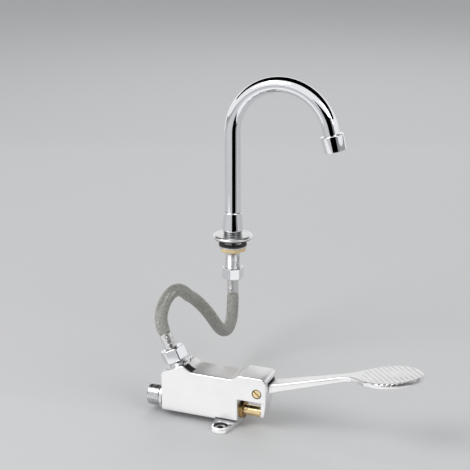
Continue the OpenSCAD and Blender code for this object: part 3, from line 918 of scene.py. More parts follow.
@dataclass
class Spout:
    """The gooseneck and its mouth, which swing together.

    The shell is its radius at the top, at the end and its length; the chamber in it is a radius
    between two places along it.
    """

    tube_r: float = 8.0
    wall: float = 1.0
    foot: float = 22.0
    leg_top: float = 108.0
    arch: float = 50.4
    tilt: float = 14.8
    straight: float = 12.0
    grip: float = 5.0
    fit: float = 0.03
    shell: tuple[float, float, float] = (11.3, 10.7, 16.0)
    chamber: tuple[float, float, float] = (9.3, 5.0, 13.0)
    opening: float = 8.4
    ring: int = 72

    @property
    def heading(self) -> Array:
        """Direction of the mouth."""
        a = math.radians(self.tilt)
        return np.array([math.sin(a), 0.0, -math.cos(a)])

    @property
    def arch_end(self) -> Array:
        """Centreline point where the arch ends."""
        a = math.radians(self.tilt)
        return np.array([self.arch * (1 + math.cos(a)), 0.0, self.leg_top + self.arch * math.sin(a)])

    def tube(self) -> Piece:
        """Carries a circle up the leg, round the arch and down to the mouth, outside and back inside.

        Returns:
            The bent tube.
        """
        a = np.radians(np.linspace(180, self.tilt, 150))
        z = np.linspace(self.foot, self.leg_top, 24)[:-1]
        leg = np.stack([0 * z, 0 * z, z], 1)
        bend = np.stack([self.arch * (1 + np.cos(a)), 0 * a, self.leg_top + self.arch * np.sin(a)], 1)
        tail = self.arch_end + np.linspace(0, self.straight, 8)[1:, None] * self.heading
        path = np.concatenate([leg, bend, tail])
        up = np.tile([0, 0, 1.0], (len(leg), 1))
        over = np.stack([np.sin(a), 0 * a, -np.cos(a)], 1)
        out = np.tile(self.heading, (len(tail), 1))
        side = np.array([0.0, 1.0, 0.0])
        square = np.cross(side, np.concatenate([up, over, out]))
        t = np.linspace(0, TURN, self.ring, endpoint=False)[None, :, None]
        circle = np.cos(t) * side + np.sin(t) * square[:, None]
        outer, inner = (path[:, None] + r * circle for r in (self.tube_r, self.tube_r - self.wall))
        return mesh_piece("spout_gooseneck", np.concatenate([outer, inner[::-1]]), closed=True)

    def mouth(self) -> Place:
        """Axis of the aerator, from the top of its shell."""
        at = self.arch_end + (self.straight - self.grip) * self.heading
        return Place(tuple(at), tuple(self.heading), (0, 1, 0))

    def build(self) -> None:
        """Makes and dresses the spout's pieces."""
        place_piece(self.tube(), POLISHED, Body.SPOUT, "spout_tube")
        top, end, length = self.shell
        wide, low, high = self.chamber
        hold = self.tube_r + self.fit
        corners = (
            (hold, 0, 0.2), (top - 0.35, 0, 0.3), (top, 0.5, 0.4), (top - 0.02, 1.5, 0.3),
            (end, length, 0.7), (self.opening, length, 0.3), (self.opening, high, 0.1),
            (wide, high, 0.1), (wide, low, 0.1), (hold, low, 0.1),
        )
        sleeve = turned("aerator_sleeve", self.mouth(), outline(corners))
        place_piece(sleeve, POLISHED, Body.SPOUT, "aerator_shell")


@dataclass
class DeckFitting:
    """The collar, cover plate, shank and clamp that hold the spout to the deck.

    A groove between ribs is half its width and its depth; the spigot above the neck is a radius and
    its top; the seat in it is a radius and its floor; the lock nut is its flats, its height and
    where it starts.
    """

    fit: float = 0.02
    flange_r: float = 20.0
    flange: tuple[float, float] = (1.0, 3.8)
    neck_r: float = 9.2
    neck_top: float = 8.2
    groove_at: tuple[float, ...] = (0.8, 2.2, 3.6)
    groove: tuple[float, float] = (0.5, 0.6)
    spigot: tuple[float, float] = (8.7, 18.0)
    seat: tuple[float, float] = (6.05, -4.0)
    bore: float = 4.5
    shank_low: float = -38.1
    shank_end: float = 0.7
    skirt: tuple[Corner, ...] = (
        (8.72, 8.2, 0.1), (10.4, 8.2, 0.5), (10.4, 9.4, 1.0), (9.3, 21, 4.0), (9.0, 26.3, 0.6),
        (8.6, 27, 0.3), (8.3, 27, 0.15), (8.3, 20, 0.1), (8.72, 20, 0.1),
    )
    lock: tuple[float, float, float] = (24.0, 4.3, -13.0)

    def neck(self) -> Piece:
        """Turns the shank with its ribbed neck and its pipe thread.

        Returns:
            The shank, its ribs in a darker finish of their own: painted shade.
        """
        low, top, r = self.shank_low, self.flange[1], self.neck_r
        half, deep = self.groove
        (spigot, rim), (seat, stop) = self.spigot, self.seat
        line = [[SHANK_R - self.shank_end, low], [SHANK_R, low + self.shank_end], [SHANK_R, top], [r, top]]
        for c in self.groove_at:
            line += [[r, top + c - half], [r - deep, top + c], [r, top + c + half]]
        line += [[r, self.neck_top], [spigot, self.neck_top], [spigot, rim], [seat, rim]]
        line += [[seat, stop], [self.bore, stop], [self.bore, low]]
        thread = Thread(start=low + 0.5, end=0.4, pitch=SHANK_PITCH, depth=0.3)
        line = refined(rounded(line, setback=0.12, steps=3), step=0.17)
        neck = turned("threaded_neck", ORIGIN, line, thread=thread)
        # The second finish, painted shade, goes on the ribs in the gap under the collar.
        for finish in (MACHINED, SHADED_RIBS):
            neck.data.materials.append(finish.material())
        faces = neck.data.polygons
        middle = np.empty(3 * len(faces))
        faces.foreach_get("center", middle)
        x, y, z = middle.reshape(-1, 3).T / MM
        ribbed = (np.hypot(x, y) > SHANK_R) & (z > top) & (z < self.neck_top)
        faces.foreach_set("material_index", ribbed.astype(np.int32))
        return neck

    def build(self) -> None:
        """Makes and dresses the deck fitting."""
        place_piece(self.neck(), MACHINED, Body.BASE, "deck_shank")
        skirt = turned("spout_skirt", ORIGIN, outline(self.skirt, step=1.2))
        place_piece(skirt, POLISHED, Body.BASE, "spout_collar")
        (low, top), wide, hold = self.flange, self.flange_r, SHANK_R + self.fit
        corners = (
            (hold, low, 0.1), (wide, low, 0.3), (wide, low + 1.3, 0.9),
            (wide - 1.5, top, 1.4), (hold, top, 0.1),
        )
        plate = turned("cover_plate", ORIGIN, outline(corners, step=1.0), 128)
        place_piece(plate, SATIN, Body.BASE, "deck_flange")
        flats, height, start = self.lock
        lip, at = 0.5, Place((0, 0, start))
        hole = [[SHANK_R + lip, height], [hold, height - lip], [hold, lip], [SHANK_R + lip, 0]]
        nut = hex_nut("thin_lock_nut", at, flats, height, np.array(hole), (0.7, 0.7), math.radians(90))
        place_piece(nut, BRASS, Body.BASE, "lock_nut")


@dataclass
class Hose:
    """The braided hose and the fittings crimped on its ends.

    The grip is the hose's radius in a ferrule and the run over which it swells; there the strands
    are pressed to a share of their depth, and where they cross the lower one shows its tucked share.
    A nut's hole is its radius at the hose, in the thread and at the lip. The crimp's corners are how
    far in from the ferrule's radius and how far along it. Its pinch is a depth, a start, an end and
    a count; its peep hole a place along it, a radius and a depth. The flats, the nuts' turns and the
    peep holes' turns are for the upper and the lower end.
    """

    start: Point = (0.0, 0.0, -57.5)
    boss: Point = (2.5, -140.0, -79.8)
    boss_tilt: float = 25.0
    outlet_nut: float = 4.5
    lead: float = 14.0
    via: tuple[Point, ...] = (
        (4, -13, -87), (6, -35, -89), (4, -51, -76), (1, -63, -58), (-10, -74, -40),
        (-11, -87, -33), (-9, -92, -30), (-11, -107, -18), (-15, -127, -20),
    )
    radius: float = 6.0
    clear: float = 0.05
    lining_r: float = 4.5
    grip: float = 5.2
    grip_run: float = 5.0
    strands: int = 20
    strand_deep: float = 0.42
    pressed: float = 0.35
    tucked: float = 0.45
    rows: int = 660
    ring: int = 140
    nut_h: float = 11.5
    nut_wall: float = 1.3
    nut_hole: tuple[float, float, float] = (5.3, 8.35, 8.8)
    nut_chamfer: tuple[float, float] = (0.5, 1.1)
    ferrule: float = 5.8
    ferrule_len: float = 15.0
    ferrule_gap: float = 0.8
    ferrule_hole: tuple[float, float] = (5.0, 5.25)
    ferrule_wall: float = 0.32
    crimp: tuple[tuple[float, float], ...] = (
        (0.5, -0.6), (0, -0.1), (0, 4), (0.2, 4.3), (0.2, 8.7), (0, 9), (0, 13.9), (0.3, 14.2),
    )
    pinch: tuple[float, float, float, int] = (0.12, 4.4, 8.6, 8)
    peep_hole: tuple[float, float, float] = (11.4, 0.9, 0.5)
    flats: tuple[float, float] = (19.0, 21.0)
    nut_turn: tuple[float, float] = (58, -73)
    peep_turn: tuple[float, float] = (75, -62)

    @property
    def up(self) -> Array:
        """Direction of the valve's outlet."""
        a = math.radians(self.boss_tilt)
        return np.array([-math.sin(a), 0.0, math.cos(a)])

    @property
    def end(self) -> Array:
        """Where the hose meets the lower ferrule."""
        return np.asarray(self.boss) + (self.outlet_nut + self.nut_h + self.ferrule_len) * self.up

    def route(self, rows: int) -> Array:
        """Centreline points: a cubic B-spline of the control points, evenly spaced.

        Args:
            rows: how many points.

        Returns:
            rows by 3 points in millimetres.
        """
        s, e = np.asarray(self.start, float), self.end
        above, up = self.lead * np.array([0, 0, 1.0]), self.lead * self.up
        ctrl = np.array([s + above, s, s - above, *self.via, e + up, e, e - up])
        t = np.linspace(0, 1, 60, endpoint=False)[None, :, None]
        a, b, c, d = (ctrl[k : len(ctrl) - 3 + k][:, None] for k in range(4))
        near = (3 * t**3 - 6 * t**2 + 4) * b + (-3 * t**3 + 3 * t**2 + 3 * t + 1) * c
        fine = ((1 - t) ** 3 * a + near + t**3 * d) / 6
        fine = np.concatenate([fine.reshape(-1, 3), e[None]])
        run = np.concatenate([[0], np.cumsum(np.linalg.norm(np.diff(fine, axis=0), axis=1))])
        even = np.linspace(0, run[-1], rows)
        return np.stack([np.interp(even, run, fine[:, k]) for k in range(3)], 1)

    def braid(self) -> tuple[Piece, Array]:
        """The woven sleeve.

        Two families of strands wind opposite ways; where they cross, a two-over two-under weave
        says which lies on top, and the radius follows the higher strand.

        Returns:
            The piece and its centreline.
        """
        path = self.route(self.rows)
        step = np.linalg.norm(np.diff(path, axis=0), axis=1)
        run = np.concatenate([[0], np.cumsum(step)])[:, None]
        a = np.linspace(0, TURN, self.ring, endpoint=False)[None]
        around = self.strands / TURN
        pitch = self.radius / around
        one, two = around * a + run / pitch, around * a - run / pitch
        ridge, cross = (np.abs(np.sin(math.pi * count)) ** 0.5 for count in (one, two))
        over = ((np.floor(one) + np.floor(two)) % 4) < 2
        under = np.maximum(cross, self.tucked * ridge)
        high = np.where(over, np.maximum(ridge, self.tucked * cross), under)
        swell = smooth(ramp(np.minimum(run, run[-1, 0] - run), self.grip_run))
        base = self.grip + (self.radius - self.clear - self.grip) * swell
        deep = self.strand_deep * (1 - high) * (self.pressed + (1 - self.pressed) * swell)
        obj = swept("hose_sleeve", path, base - deep, self.ring)
        self.weave_map(obj.data, around, float(run[1, 0]) / pitch)
        return obj, path

    def weave_map(self, mesh: bpy.types.Mesh, around: float, rise: float) -> None:
        """Lays a map on the sleeve whose two axes count the strands of each family.

        Args:
            mesh: the sleeve, whose first faces are its grid, row by row.
            around: strands for each radian of the turn.
            rise: strands for each row.
        """
        loops = np.empty(len(mesh.loops), dtype=np.int64)
        mesh.loops.foreach_get("vertex_index", loops)
        count = np.empty(len(mesh.polygons), dtype=np.int64)
        mesh.polygons.foreach_get("loop_total", count)
        face = np.repeat(np.arange(len(count)), count)
        row, col = loops // self.ring, loops % self.ring
        col = np.where((face % self.ring == self.ring - 1) & (col == 0), self.ring, col)
        turn = around * TURN * col / self.ring
        uv = np.stack([turn + rise * row, turn - rise * row], 1).astype(np.float32)
        mesh.uv_layers.new(name="weave").data.foreach_set("uv", uv.ravel())

    def fittings(
        self, place: Place, name: str, flats: float, turn: float, face: float
    ) -> tuple[Piece, Piece]:
        """The nut and the crimped ferrule at one end.

        Args:
            place: axis from the nut's open end.
            name: upper or lower.
            flats: nut's width across flats.
            turn: angle of a flat, in radians.
            face: angle of the crimp's peep hole, in radians.

        Returns:
            The two pieces.
        """
        h, deep, (neck, tapped, lip) = self.nut_h, self.nut_h - self.nut_wall, self.nut_hole
        hole = np.array([[neck, h], [neck, deep], [tapped, deep], [tapped, 0.6], [lip, 0.0]])
        nut = hex_nut(f"{name}_swivel_nut", place, flats, h, hole, self.nut_chamfer, turn)
        f, z = self.ferrule, h + self.ferrule_gap
        outer = [[f - inset, z + up] for inset, up in self.crimp]
        low, high, (neck, wide) = outer[0][1], outer[-1][1], self.ferrule_hole
        line = rounded([[neck, low], *outer, [wide, high], [wide, z + 1], [neck, z + 1]], setback=0.25)

        def press(r: Array, a: Array, s: Array) -> Array:
            """Presses the crimp's flats in a little and sinks a small round peep hole near the hose.

            Args:
                r: radii of the turned outline.
                a: angles.
                s: heights.

            Returns:
                The ferrule's radii.
            """
            deep, start, end, count = self.pinch
            up, radius, sunk = self.peep_hole
            off = (a - face + math.pi) % TURN - math.pi
            away = np.hypot(off * f, s - (z + up)) / radius
            flat = deep * np.clip(np.cos(count * a), 0, 1)
            flat = flat * ramp(s - z - start, 0.5) * ramp(z + end - s, 0.5)
            return np.where(r > f - self.ferrule_wall, r - sunk * np.exp(-(away**6)) - flat, r)

        return nut, turned(f"{name}_crimp", place, refined(line, step=0.3), 120, relief=press)

    def build(self) -> None:
        """Makes and dresses the hose."""
        sleeve, path = self.braid()
        place_piece(sleeve, BRAID, Body.BASE, "hose_braid")
        inner = swept("hose_lining", self.route(160), np.array([[self.lining_r]]), 24)
        place_piece(inner, RUBBER, Body.BASE, "hose_liner")
        tilt = math.radians(self.boss_tilt)
        outlet = tuple(np.asarray(self.boss) + self.outlet_nut * self.up)
        ends = (
            Place((0, 0, self.start[2] + self.nut_h + self.ferrule_len), (0, 0, -1)),
            Place(outlet, tuple(self.up), (math.cos(tilt), 0, math.sin(tilt))),
        )
        turns = np.radians([self.nut_turn, self.peep_turn]).T
        for place, name, flats, (turn, face) in zip(ends, ("upper", "lower"), self.flats, turns):
            nut, ferrule = self.fittings(place, name, flats, turn, face)
            place_piece(nut, POLISHED, Body.BASE, f"{name}_nut")
            place_piece(ferrule, STEEL, Body.BASE, f"{name}_ferrule")


@dataclass
class FootValve:
    """The casting with its nipples, gland and plunger.

    The cheek is where it ends and its underside; the slot's mouth is plated from a distance past the
    right wall on, between two heights; the step under each side is a start, a depth and a height;
    the outlet is a place along, a height and a tilt; the lug is a place along, one across, a radius
    and a thickness; the spring is a start, a length, a radius and its turns. Most other cut faces,
    the steps' among them, take a near-black finish that is painted shade. Cutters run a little
    past the body, so that no faces fall together.
    """

    half: float = 14.0
    left: float = -34.0
    right: float = 41.5
    cheek: tuple[float, float] = (69.0, 14.5)
    low: float = -8.0
    top: float = 33.5
    hump: float = 38.4
    slot_w: float = 17.4
    mouth: tuple[float, float, float] = (16.0, 10.0, 21.0)
    step: tuple[float, float, float] = (20.07, 0.93, 2.23)
    keel: float = 13.0
    keel_in: float = 0.4
    floor: float = -15.0
    outlet: tuple[float, float, float] = (-22.5, 34.2, 25.0)
    outlet_half: float = 10.1
    lug: tuple[float, float, float, float] = (27.8, 20.0, 8.5, 4.5)
    lug_waist: tuple[float, float] = (40.3, 16.0)
    edge: float = 1.25
    pocket: Bore = (-3.0, 12.4, 30.0)
    outlet_bore: Bore = (-16.0, 7.52, 16.0)
    outlet_relief: tuple[Point, Point] = ((9.5, -12.6, -9.0), (17.5, -3.5, 5.0))
    bore: Bore = (17.0, 8.52, 30.0)
    inlet_bore: Bore = (-35.0, 9.52, 18.0)
    pin_bore: Bore = (-15.0, 3.02, 28.0)
    pin_recess: Bore = (-15.0, 4.6, 3.2)
    screw: Bore = (-1.0, 2.75, 12.0)
    screw_head: Bore = (3.0, 6.6, 6.2)
    screw_seat: Bore = (2.95, 4.8, 6.2)
    outlet_line: tuple[Corner, ...] = (
        (5, -15, 0.2), (7.5, -15, 0.4), (7.5, -2, 0.1), (12, -2, 0.2), (12, 0.6, 0.5),
        (SHANK_R, 0.6, 0.2), (SHANK_R, 11.6, 0.5), (5, 11.6, 0.2),
    )
    inlet_line: tuple[Corner, ...] = (
        (4.5, -51.3, 0.4), (INLET_R - 1.1, -51.3, 0.3), (INLET_R, -50.2, 0.3), (INLET_R, -39.2, 0.3),
        (INLET_R - 1.0, -38.6, 0.2), (INLET_R - 1.0, -37.6, 0.2), (12.4, -37.6, 0.5), (12.4, -35.0, 0.5),
        (9.5, -35.0, 0.1), (9.5, -22, 0.1), (7.6, -22, 0.1), (7.6, -48, 0.1), (4.5, -48, 0.1),
    )
    plunger_line: tuple[Corner, ...] = (
        (0.8, -29, 0.1), (2, -29, 0.2), (2, -22.3, 0.1), (3, -22.3, 0.2), (3, 14, 0.2), (6.5, 14, 0.4),
        (6.5, 17, 0.4), (5, 17, 0.2), (5, 60.5, 0.4), (4.5, 61, 0.3), (0.02, 61, 0.0), (0.02, -26, 0.0),
        (0.8, -26, 0.1),
    )
    gland_line: tuple[tuple[float, float], ...] = (
        (8.1, 0.0), (8.5, 0.4), (8.5, 24.1), (8.5, 24.2), (9.3, 24.25), (9.4, 24.6), (9.4, 26.2),
        (9.2, 26.5), (8.8, 26.7), (5.5, 26.7), (5.05, 26.2), (5.05, 0.4), (5.4, 0.0),
    )
    gland_at: float = 17.3
    gland_flats: float = 16.0
    gland_shoulder: float = 24.22
    spring: tuple[float, float, float, int] = (-48.0, 19.0, 5.2, 6)
    spring_end: float = 0.65
    wire_r: float = 0.6
    lift: float = 5.0

    @staticmethod
    def at(x: float, y: float, z: float) -> Point:
        """A point of the valve in the model."""
        return (VALVE_AT[0] + x, VALVE_AT[1] + y, VALVE_AT[2] + z)

    def along_x(self, x: float) -> Place:
        """The bore axis from a place on it."""
        return Place(self.at(x, 0, 0), (1, 0, 0), (0, 0, 1))

    def on_outlet(self, s: float) -> Place:
        """The outlet axis from a height over its boss.

        Args:
            s: the height.

        Returns:
            The place, its angle zero in the valve's long plane.
        """
        x, z, tilt = self.outlet
        a = math.radians(tilt)
        k = np.array([-math.sin(a), 0, math.cos(a)])
        return Place(tuple(np.asarray(self.at(x, 0, z)) + s * k), tuple(k), (math.cos(a), 0, math.sin(a)))

    def lug_axis(self, side: int) -> Callable[[float], Place]:
        """The axis of one lug's screw hole, by height over the floor."""
        x, y = self.lug[:2]
        return lambda z: Place(self.at(x, side * y, self.floor + z))

    def side(self) -> Array:
        """The casting's side outline, x across and z up, with cast radii.

        Returns:
            N by 2 points.
        """
        x, z, tilt = self.outlet
        rise = math.tan(math.radians(tilt))
        right, under = self.cheek
        corners = (
            (self.left, self.low, 2.2), (self.right, self.low, 2.0), (self.right, under, 0.6),
            (right, under, 2.0), (right, self.hump, 5.5), (42, self.hump, 2.6), (36.6, self.top, 2.6),
            (-4.2, self.top, 3.0), (x + self.outlet_half, z + self.outlet_half * rise, 2.0),
            (self.left, z + (self.left - x) * rise, 2.0),
        )
        return outline(corners, 9, step=6.0)

    def base_lugs(self) -> Piece:
        """Lays out the two lugs as one plate: a round end each side of a narrower waist.

        Returns:
            The plate.
        """
        x, y, r, thick = self.lug
        far, near = self.lug_waist
        points = 25
        plan = [[far, 0]] + arc(x, y, r, 8, 172, points) + [[near, 0]] + arc(x, -y, r, 188, 352, points)
        line = rounded(plan, np.array(([2.0] + [0.0] * points) * 2), 5)

        def lying(flat: Array, z: Array) -> Array:
            """Lays a plan outline in the model."""
            return np.asarray(VALVE_AT) + np.concatenate([flat, z[..., None]], -1)

        return slab("foot", line, (self.floor, self.floor + thick), 0.9, lying)

    def casting(self) -> Piece:
        """The body: its side outline made a block, joined to the keel and the lugs, bored and slotted.

        Returns:
            The casting, raw inside its cuts.
        """
        body = slab("valve_casting", self.side(), (-self.half, self.half), self.edge, standing(VALVE_AT), 7)
        long = self.right - self.left - 2 * self.keel_in
        keel = rod("keel", self.along_x(self.left + self.keel_in), self.keel, long)
        # The second finish is painted shade for the cut faces.
        for finish in (CASTING, SHADED_CUTS):
            body.data.materials.append(finish.material())
        carve(body, [keel, self.base_lugs()], join=True)
        here, slot, end = Place(VALVE_AT), self.slot_w / 2, self.cheek[0] + 2
        lugs = [self.lug_axis(side) for side in (-1, 1)]
        start, deep, tall = self.step
        low, high = self.low - 1.4, self.low + tall
        spans = (-self.half - 1.1, -self.half + deep), (self.half - deep, self.half + 1.1)
        steps = [block("step", here, (start, y0, low), (self.right + 1.3, y1, high)) for y0, y1 in spans]
        # Painted shade: the steps' faces make a dark band over the lugs.
        carve(body, steps, cut_finish=1)
        wide, (start, low, high) = slot + 0.02, self.mouth
        carve(body, [block("slot_mouth", here, (self.right + start, -wide, low), (end, wide, high))])
        cuts = [
            block("slot", here, (self.right, -slot, -12), (end, slot, self.hump - 5)),
            drill("pocket", self.on_outlet, self.pocket),
            drill("outlet_bore", self.on_outlet, self.outlet_bore),
            block("relief", self.on_outlet(0), *self.outlet_relief),
            drill("bore", self.along_x, self.bore),
            drill("inlet_bore", self.along_x, self.inlet_bore),
            drill("pin_bore", pin_axis, self.pin_bore),
            drill("pin_recess", pin_axis, self.pin_recess),
        ]
        for axis in lugs:
            cuts += [drill("screw", axis, self.screw), drill("head", axis, self.screw_head)]
        # Painted shade in the slot, pocket, relief, bores, pin recess and screw heads.
        carve(body, cuts, cut_finish=1)
        # The seats' floors keep the plating.
        carve(body, [drill("seat", axis, self.screw_seat) for axis in lugs])
        return body

    def inlet(self) -> Piece:
        """The threaded inlet nipple with its collar and bore.

        Returns:
            The nipple.
        """
        thread = Thread(start=-50.6, end=-39.0, pitch=INLET_PITCH, depth=0.9)
        line = outline(self.inlet_line, 4, step=0.22)
        return turned("inlet_thread_nipple", self.along_x(0), line, thread=thread)

    def outlet_piece(self) -> Piece:
        """The outlet nipple: collar in its pocket and thread up into the hose nut.

        Returns:
            The nipple.
        """
        thread = Thread(start=0.9, end=11.4, pitch=SHANK_PITCH, depth=0.45)
        line = outline(self.outlet_line, 4, step=0.25)
        return turned("outlet_thread_nipple", self.on_outlet(0), line, thread=thread)

    def plunger(self) -> Piece:
        """The brass plunger and stem, turned from one bar."""
        return turned("brass_plunger", self.along_x(0), outline(self.plunger_line, step=2.0), 72)

    def gland(self) -> Piece:
        """The brass gland with its hexagon in the window.

        Returns:
            The gland.
        """

        def flats(r: Array, a: Array, s: Array) -> Array:
            """Cuts the hexagon on the part outside the casting."""
            outside = (s > self.gland_shoulder) & (r > 7)
            return np.where(outside, np.minimum(r, hexagon(self.gland_flats, a, math.radians(30))), r)

        at = self.along_x(self.gland_at)
        return turned("gland_hexagon", at, np.array(self.gland_line), NUT_SIDES, relief=flats)

    def coil(self) -> Piece:
        """The return spring: a wire carried round a helix along the bore.

        Returns:
            The spring.
        """
        start, length, radius, turns = self.spring
        s = np.linspace(0, 1, turns * 40 + 1)
        turn = TURN * turns * s
        along = start + self.spring_end + (length - 2 * self.spring_end) * s
        path = np.stack([along, radius * np.cos(turn), radius * np.sin(turn)], 1) + np.asarray(VALVE_AT)
        return swept("return_coil", path, np.array([[self.wire_r]]), 10)

    def build(self) -> None:
        """Makes and dresses the valve's pieces."""
        place_piece(self.casting(), CASTING, Body.BASE, "valve_body")
        place_piece(self.inlet(), MACHINED, Body.BASE, "inlet_nipple")
        place_piece(self.outlet_piece(), MACHINED, Body.BASE, "outlet_nipple")
        place_piece(self.plunger(), BRASS, Body.STEM, "valve_stem")
        # The gland's dark brass is painted shade.
        place_piece(self.gland(), SHADED_BRASS, Body.BASE, "gland_nut")
        coil = place_piece(self.coil(), STEEL, Body.BASE, "return_spring")
        start, length = self.spring[:2]
        anchor = tuple(MM * v for v in self.at(start, 0, 0))
        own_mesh(coil)


@dataclass
class Pedal:
    """The bell-crank lever with its ridged foot plate.

    The hub is a radius and a width; the nose a place along and a radius. The arm has half widths and
    half heights by distance from the pivot, and the flare has both by distance from the arm's end.
    The plate is half its length and half its width; the ridges a pitch, a depth and a turn; the
    plain patch a shift from the plate's middle and half its length and width. Its fade is where the
    ridges start, as a share of the patch, and the run over which they grow.
    """

    hub: tuple[float, float] = (7.5, 16.4)
    bush: Bore = (-20.0, 4.52, 40.0)
    nose: tuple[float, float] = (63.3, 2.0)
    arm_from: float = 4.0
    arm_rise: float = 16.2
    arm_len: float = 88.0
    arm_half: tuple[tuple[float, float], ...] = ((0, 7.4), (6, 7.4), (22, 7.2))
    flare_half: tuple[tuple[float, float], ...] = ((-9, 4.7), (0, 6.4), (15.5, 15.5), (23, 1.0))
    arm_tall: tuple[tuple[float, float], ...] = ((0, 4.6), (8, 4.6), (14, 4.1), (22, 3.7))
    flare_tall: tuple[tuple[float, float], ...] = ((0, 2.35), (8, 2.3), (20, 2.5))
    plate_rise: float = 9.0
    plate: tuple[float, float] = (29.5, 21.9)
    plate_reach: float = 64.0
    tip_r: float = 15.0
    tip_run: float = 1.5
    rim: float = 1.3
    ridge: tuple[float, float, float] = (5.2, 0.5, 38.0)
    ridge_sharp: float = 1.3
    patch: tuple[float, float, float] = (10.0, 7.6, 5.6)
    patch_fade: tuple[float, float] = (0.6, 11.0)

    def hub_piece(self) -> Piece:
        """The hub and the down-arm that pushes the plunger, with rounded rims and the bush hole.

        Returns:
            The crank.
        """
        px, pz = PIVOT
        nx, nr = self.nose
        r, width = self.hub
        tip, hub = arc(nx, 0, nr, 175, 362, 15), arc(px, pz, r, 20, 215, 30)
        line = [[nx - 1.2, 0.2], *tip, [px + 6.6, pz - 12], [px + 8.4, pz - 2], *hub, [px + 0.9, pz - 6.5]]
        setback = np.array([0.5] + [0.0] * len(tip) + [2.0, 1.5] + [0.0] * len(hub) + [1.0])
        faces = -width / 2, width / 2
        obj = slab("pedal_crank", rounded(line, setback, 5), faces, 0.9, standing(VALVE_AT))
        carve(obj, [drill("bush_hole", pin_axis, self.bush)])
        return obj

    def stations(self) -> Array:
        """Distances from the pivot at which the lever is drawn, closer on the plate and at its tip.

        Returns:
            The distances, in order.
        """
        reach, bend = self.arm_len + self.plate_reach, self.arm_len - 14
        plate = np.arange(bend + 0.4, reach - self.tip_run, 0.42)
        tip = reach - self.tip_run * (1 - np.linspace(0, 1, 16)[1:]) ** 2
        return np.concatenate([np.linspace(self.arm_from, bend, 40), plate, tip])

    def tread(self, along: Array, y: Array) -> Array:
        """Height of the tread over the plate's top.

        Grooves are a cosine of the distance square to them. They fade out round a plain oval near the tip.

        Args:
            along: distance from the middle of the plate's oval, along it.
            y: distance across it.

        Returns:
            Heights, none above the plate's top.
        """
        pitch, deep, turn = self.ridge
        lean = math.tan(math.radians(turn))
        comb = (0.5 + 0.5 * np.cos(TURN * (along + y * lean) / pitch)) ** self.ridge_sharp
        shift, long, wide = self.patch
        start, run = self.patch_fade
        spot = np.hypot((along - shift) / long, y / wide)
        return -deep * comb * smooth(ramp((spot - start) * long, run))

    def plan(self, s: Array) -> Array:
        """Half width of the lever: tapering arm, flare and an oval of two side arcs and a round tip.

        Args:
            s: distance from the pivot.

        Returns:
            Half widths, nothing at the tip.
        """
        half, wide = self.plate
        flare = [(self.arm_len + x, w) for x, w in self.flare_half]
        arm = np.interp(s, *zip(*self.arm_half, *flare))
        u = s - self.arm_len - self.plate_reach + half
        mid = half - self.tip_r
        side_r = (mid * mid + wide * wide - self.tip_r**2) / (2 * (wide - self.tip_r))
        reach = mid + self.tip_r * mid / (side_r - self.tip_r)
        side = np.sqrt(np.clip(side_r**2 - u * u, 0, None)) - side_r + wide
        cap = np.sqrt(np.clip(self.tip_r**2 - (np.abs(u) - mid) ** 2, 0, None))
        oval = np.clip(np.where(np.abs(u) < reach, side, cap), 0, None)
        both = (oval**10 + arm**10) ** 0.1
        return np.where(u > -mid, oval + (both - oval) * ramp(-u, mid), both)

    def spine(self, s: Array) -> tuple[Array, Array, Array]:
        """The lever's middle line, which bends from the arm's slope to the plate's.

        Args:
            s: distances from the pivot.

        Returns:
            Places along the bore, heights and slopes in radians.
        """
        a, b = math.radians(self.arm_rise), math.radians(self.plate_rise)
        slope = a + (b - a) * smooth(ramp(s - self.arm_len + 10, 20))
        ds = np.diff(s, prepend=s[0])
        x = PIVOT[0] + self.arm_from * math.cos(a) + np.cumsum(np.cos(slope) * ds)
        z = PIVOT[1] + 1 + self.arm_from * math.sin(a) + np.cumsum(np.sin(slope) * ds)
        return x, z, slope

    @staticmethod
    def section() -> tuple[Array, ...]:
        """A box section with rounded corners, from the top's left end round.

        Returns:
            For each point, which side it is on across, how far round a corner across, and both upwards.
        """
        top, low = np.linspace(1, -1, 118), np.linspace(-1, 1, 40)
        q = np.linspace(0, math.pi / 2, 7)[1:-1]
        one, c, s = np.ones_like(q), np.cos(q), np.sin(q)
        runs = (
            (top, 0 * top, 1 + 0 * top, 1 + 0 * top),
            (-one, -s, one, c),
            (-one, -c, -one, -s),
            (low, 0 * low, 0 * low - 1, 0 * low - 1),
            (one, s, -one, -c),
            (one, c, one, s),
        )
        return tuple(np.concatenate([run[k] for run in runs])[None] for k in range(4))

    def arm_piece(self) -> Piece:
        """The arm and foot plate as one loft.

        Along the lever, the half width is a soft maximum of the tapering arm and the oval plate. Round
        it runs a box section with rounded corners, whose top carries the tread over the plate.

        Returns:
            The loft.
        """
        half, s = self.plate[0], self.stations()
        reach = s[-1]
        x, z, slope = (v[:, None] for v in self.spine(s))
        width = np.maximum(self.plan(s) * np.where(s < reach - 1e-6, 1, 0), 2e-3)
        flare = [(self.arm_len + x, h) for x, h in self.flare_tall]
        tall = np.interp(s, *zip(*self.arm_tall, *flare))
        gone = np.clip(1 - (reach - s) / self.rim, 0, 1)
        tall = tall - self.rim + self.rim * np.sqrt(np.clip(1 - gone**2, 0, 1))
        r = np.minimum(np.minimum(self.rim, 0.8 * width), 0.8 * tall)[:, None]
        ky, cy, kz, cz = self.section()
        y = ky * (width[:, None] - r) + cy * r
        rise = kz * (tall[:, None] - r) + cz * r
        along = s[:, None] - (reach - half)
        on_top = (kz > 0) * ramp(cz - 0.25, 0.5)
        on_plate = ramp(along + half - 3, 6) * ramp(reach - s[:, None], 1.2)
        rise = rise + on_top * on_plate * self.tread(along, y)
        pts = np.stack([x - np.sin(slope) * rise, y, z + np.cos(slope) * rise], -1) + np.asarray(VALVE_AT)
        return mesh_piece("pedal_arm", pts, sharp=40)

